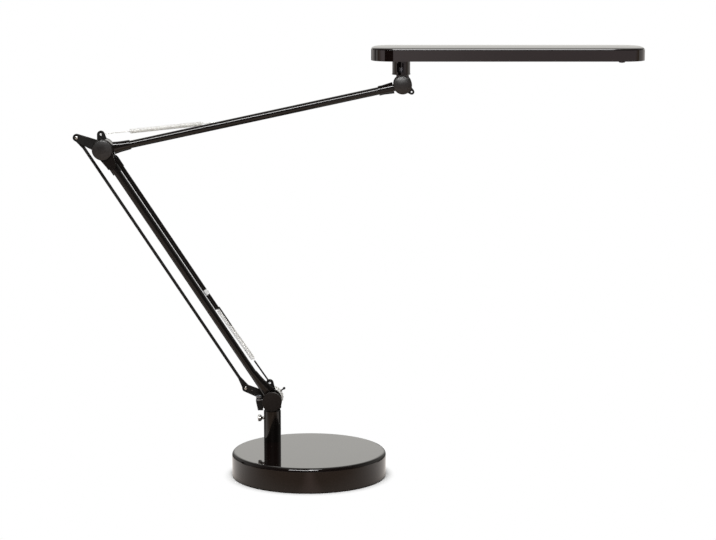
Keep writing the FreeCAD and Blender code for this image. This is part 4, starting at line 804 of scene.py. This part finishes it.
# %% Arm sleeves and the elbow's drum
def oval_sleeve(rows, sides=72):
    """Rows of (x, half width, half height, lift): y = width cos a, z = lift + height sin a.

    Both ends are closed.
    """
    rows = np.asarray(rows, float)
    rows = np.vstack([rows[0] * [1, 0, 0, 1], rows, rows[-1] * [1, 0, 0, 1]])
    angle = np.linspace(0, 2 * np.pi, sides, endpoint=False)
    x = np.repeat(rows[:, :1], sides, axis=1)
    return np.stack([x, rows[:, 1:2] * np.cos(angle), rows[:, 3:] + rows[:, 2:3] * np.sin(angle)], axis=-1)


UPPER_LENGTH = np.linalg.norm(HUB - ELBOW) / MM
LOWER_LENGTH = np.linalg.norm(ELBOW - PIVOT) / MM
INSIDE = 4.6
root = eased([(12, INSIDE, INSIDE, -1.5), (12, 5.1, 8.6, -1.9), (18, 5.15, 7.4, -1.25),
              (30, 5.15, 6.15, 0.45), (44, 5.15, 5.3, 1.3), (44, INSIDE, INSIDE, 1.3)], (0.3, 2, 4, 0.2))
add_piece("lower_root_taper", [set_down(oval_sleeve(root), PIVOT, LOWER_WAY)], "lower_root", hides=False)


def upper_sleeve(rows, ease):
    """A sleeve on the upper arm's axis from rows of (x, half width, half height) along it."""
    lifted = np.column_stack([rows, np.full(len(rows), UPPER_AXIS_Z)])
    return set_down(oval_sleeve(eased(lifted, ease)), ELBOW, UPPER_WAY)


collar = upper_sleeve([(14, INSIDE, INSIDE), (14, 5.15, 8.3), (21, 5.6, 7.2), (36, 6.2, 6.2),
                       (36, INSIDE, INSIDE)], (0.4, 3, 0.5))
add_piece("upper_collar_taper", [collar], "upper_collar")
tip_start, tip_end = UPPER_LENGTH - 31, UPPER_LENGTH - 12.5
tip = upper_sleeve([(tip_start, INSIDE, INSIDE), (tip_start, 6.4, 6.4), (UPPER_LENGTH - 29, 6.4, 6.4),
                    (UPPER_LENGTH - 28.4, 6.0, 6.1), (tip_end, 5.2, 7.6), (tip_end, INSIDE, INSIDE)],
                   (0.4, 0.3, 0.3, 0.5))
add_piece("upper_tip_taper", [tip], "upper_tip", hides=False)


def drum(start, stop, radius):
    """A ring about the elbow's axis between two depths in millimetres, with eased rims."""
    hole = 4
    line = eased([(hole, start), (radius, start), (radius, stop), (hole, stop), (hole, start)],
                 (0.5, 0.5, 0.2))
    return spin(line, ELBOW, AWAY, 128)


add_piece("elbow_cheeks", [drum(-10.2, -6.3, 13.9), drum(8.05, 11.95, 13.4)], "elbow_ferrule", hides=False)
add_piece("elbow_eye", [drum(-4.95, 4.95, 13.6)], "upper_root", hides=False)

# %% [markdown]
# ## Small details
# A dark lip carries on from the spring's sleeve and leaves the coil in view. A plug closes the
# sleeve's upper end, and a white slug shows in its window. The spare hole in the lower plate has
# a stopper, and the head's peg a band that shows in the socket's slot.

# %% Details of the sleeve, the plate and the peg
def half_pipe(x, inner, outer, first, last, sides=24):
    """A curved strip about the sleeve's axis: an arc out at one radius and back at another, along x."""
    arc = np.linspace(first, last, sides)
    radius = np.concatenate([np.tile(outer[:, None], sides), np.tile(inner[:, None], sides)], axis=1)
    angle = np.concatenate([arc, arc[::-1]])
    ring = np.stack([np.repeat(x[:, None], 2 * sides, axis=1), SPRING_Y + radius * np.cos(angle),
                     SLEEVE_Z + radius * np.sin(angle)], axis=-1)
    ends = [np.repeat(ring[spot].mean(axis=0)[None, None], 2 * sides, axis=1) for spot in (0, -1)]
    return np.concatenate([ends[0], ring, ends[1]])


def on_sleeve(along):
    """A point on the sleeve's axis, so many millimetres along the lower arm."""
    return set_down(np.array([along, SPRING_Y, SLEEVE_Z]), PIVOT, LOWER_WAY)


LIP_START, LIP_END = 108, 141
LIP_INSIDE, LIP_THICKNESS = 3.35, 0.75
lip_x = np.linspace(LIP_START, LIP_END, 24)
lip_swell = np.interp(lip_x, [LIP_START, LIP_START + 4], [0.15, 1.0])
lip = half_pipe(lip_x, LIP_INSIDE + 0 * lip_x, LIP_INSIDE + LIP_THICKNESS * lip_swell,
                -np.pi * 0.72, -np.pi * 0.05)
add_piece("sleeve_lip", [set_down(lip, PIVOT, LOWER_WAY)], "spring_sleeve", hides=False)

PLUG_RADIUS, PLUG_LENGTH = 3.7, 5.5
bend = np.linspace(0, np.pi / 2, 10)
plug = np.column_stack([PLUG_RADIUS * np.cos(bend), PLUG_LENGTH * np.sin(bend)])
plug_grid = spin(np.vstack([(0, 0), plug]), on_sleeve(LOWER_LENGTH - 19.2), LOWER_WAY, 48)
add_piece("sleeve_plug", [plug_grid], "elbow_ferrule", hides=False)

SLUG_RADIUS, SLUG_LENGTH = 3.1, 7.6
slug = eased([(0, 0), (SLUG_RADIUS, 0), (SLUG_RADIUS, SLUG_LENGTH), (0, SLUG_LENGTH)], 0.3)
slug_grid = spin(slug, on_sleeve(162.8), LOWER_WAY, 40)
add_piece("sleeve_slug", [slug_grid], "spring_pin", hides=False, material=WHITE_FRAME)

ROD_EAR_X, ROD_EAR_Z = -35, 14.3
SPARE_FROM_EAR = 8.6
STOPPER_Y = 5.9
spare_share = 1 - SPARE_FROM_EAR / math.hypot(ROD_EAR_X, ROD_EAR_Z)
spare_seat = PIVOT + np.array([ROD_EAR_X * spare_share, STOPPER_Y, ROD_EAR_Z * spare_share]) * MM
stopper = eased([(0, 1.6), (0.75, 1.6), (0.75, 0), (0, 0)], 0.2)
stopper_grid = spin(stopper, spare_seat, AWAY, 32)
add_piece("spare_hole_stopper", [stopper_grid], "lower_plate", hides=False, material=DARK_ZINC)

PEG_INSIDE, PEG_OUTSIDE = 6.5, 7.04
BAND_LOW, BAND_HIGH = 1.0, 9.5
socket_low, socket_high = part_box("swivel_socket")
peg_seat = np.array([(socket_low[0] + socket_high[0]) / 2, HUB[1], socket_low[2]])
band = eased([(PEG_INSIDE, BAND_LOW), (PEG_OUTSIDE, BAND_LOW), (PEG_OUTSIDE, BAND_HIGH),
              (PEG_INSIDE, BAND_HIGH), (PEG_INSIDE, BAND_LOW)], 0.1)
add_piece("peg_band", [spin(band, peg_seat, UPRIGHT, 64)], "head_hub", hides=False, material=DARK_ZINC)

# %% [markdown]
# ## Head cover
# The cover is one section carried round a rounded rectangle: a lip inside the housing, a small
# bevel that draws the bright line along the head, and a top with a slight crown. The crown's
# height falls with the power 1.8 of the share of the way out.

# %% Head cover
def slab(section, low, high, corner, steps=24):
    """Rows of (inset, height): a rounded rectangle pulled in by the inset, at that height in metres.

    Its corners are (R - inset) (cos a, sin a) about their centres, and close to a line past R.
    """
    inset = section[:, :1]
    turn = np.concatenate([np.linspace(k, k + 1, steps) for k in range(4)]) * np.pi / 2
    across = np.repeat([[1, 1], [-1, 1], [-1, -1], [1, -1]], steps, axis=0)
    reach = np.maximum(corner - inset, 0)
    half = (np.asarray(high) - low)[:2] / MM / 2
    shrink = np.maximum(corner, inset)
    x = across[:, 0] * (half[0] - shrink) + reach * np.cos(turn)
    y = across[:, 1] * np.maximum(half[1] - shrink, 0) + reach * np.sin(turn)
    centre = (np.asarray(low) + high)[:2] / 2
    height = HUB[2] + section[:, 1:2] * MM + 0 * x
    return np.stack([centre[0] + x * MM, centre[1] + y * MM, height], axis=-1)


# insets from the housing's outline and heights above the head's pivot, in millimetres
HEAD_CORNER = 28.0
MIDDLE_INSET, CROWN_INSET = 35, 4.1
UNDERSIDE, LIP_FOOT = 46.7, 43.7
CROWN_TOP, CROWN_FALL = 49.5, 0.58
edge = eased([(MIDDLE_INSET, UNDERSIDE), (3.9, UNDERSIDE), (3.9, LIP_FOOT), (2.3, LIP_FOOT),
              (2.3, UNDERSIDE), (0.5, UNDERSIDE), (0.5, 46.95), (1.6, 48.05), (4.0, 48.9)],
             (0.1, 0.1, 0.1, 0.1, 0.08, 0.1, 0.15), 4)
crown_inset = np.linspace(CROWN_INSET, MIDDLE_INSET, 30)
outward = (MIDDLE_INSET - crown_inset) / (MIDDLE_INSET - CROWN_INSET)
crown = np.column_stack([crown_inset, CROWN_TOP - CROWN_FALL * outward ** 1.8])
crowned = slab(np.vstack([edge, crown]), *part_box("head_housing"), HEAD_CORNER)
add_piece("head_cover_crowned", [crowned], "head_cover")
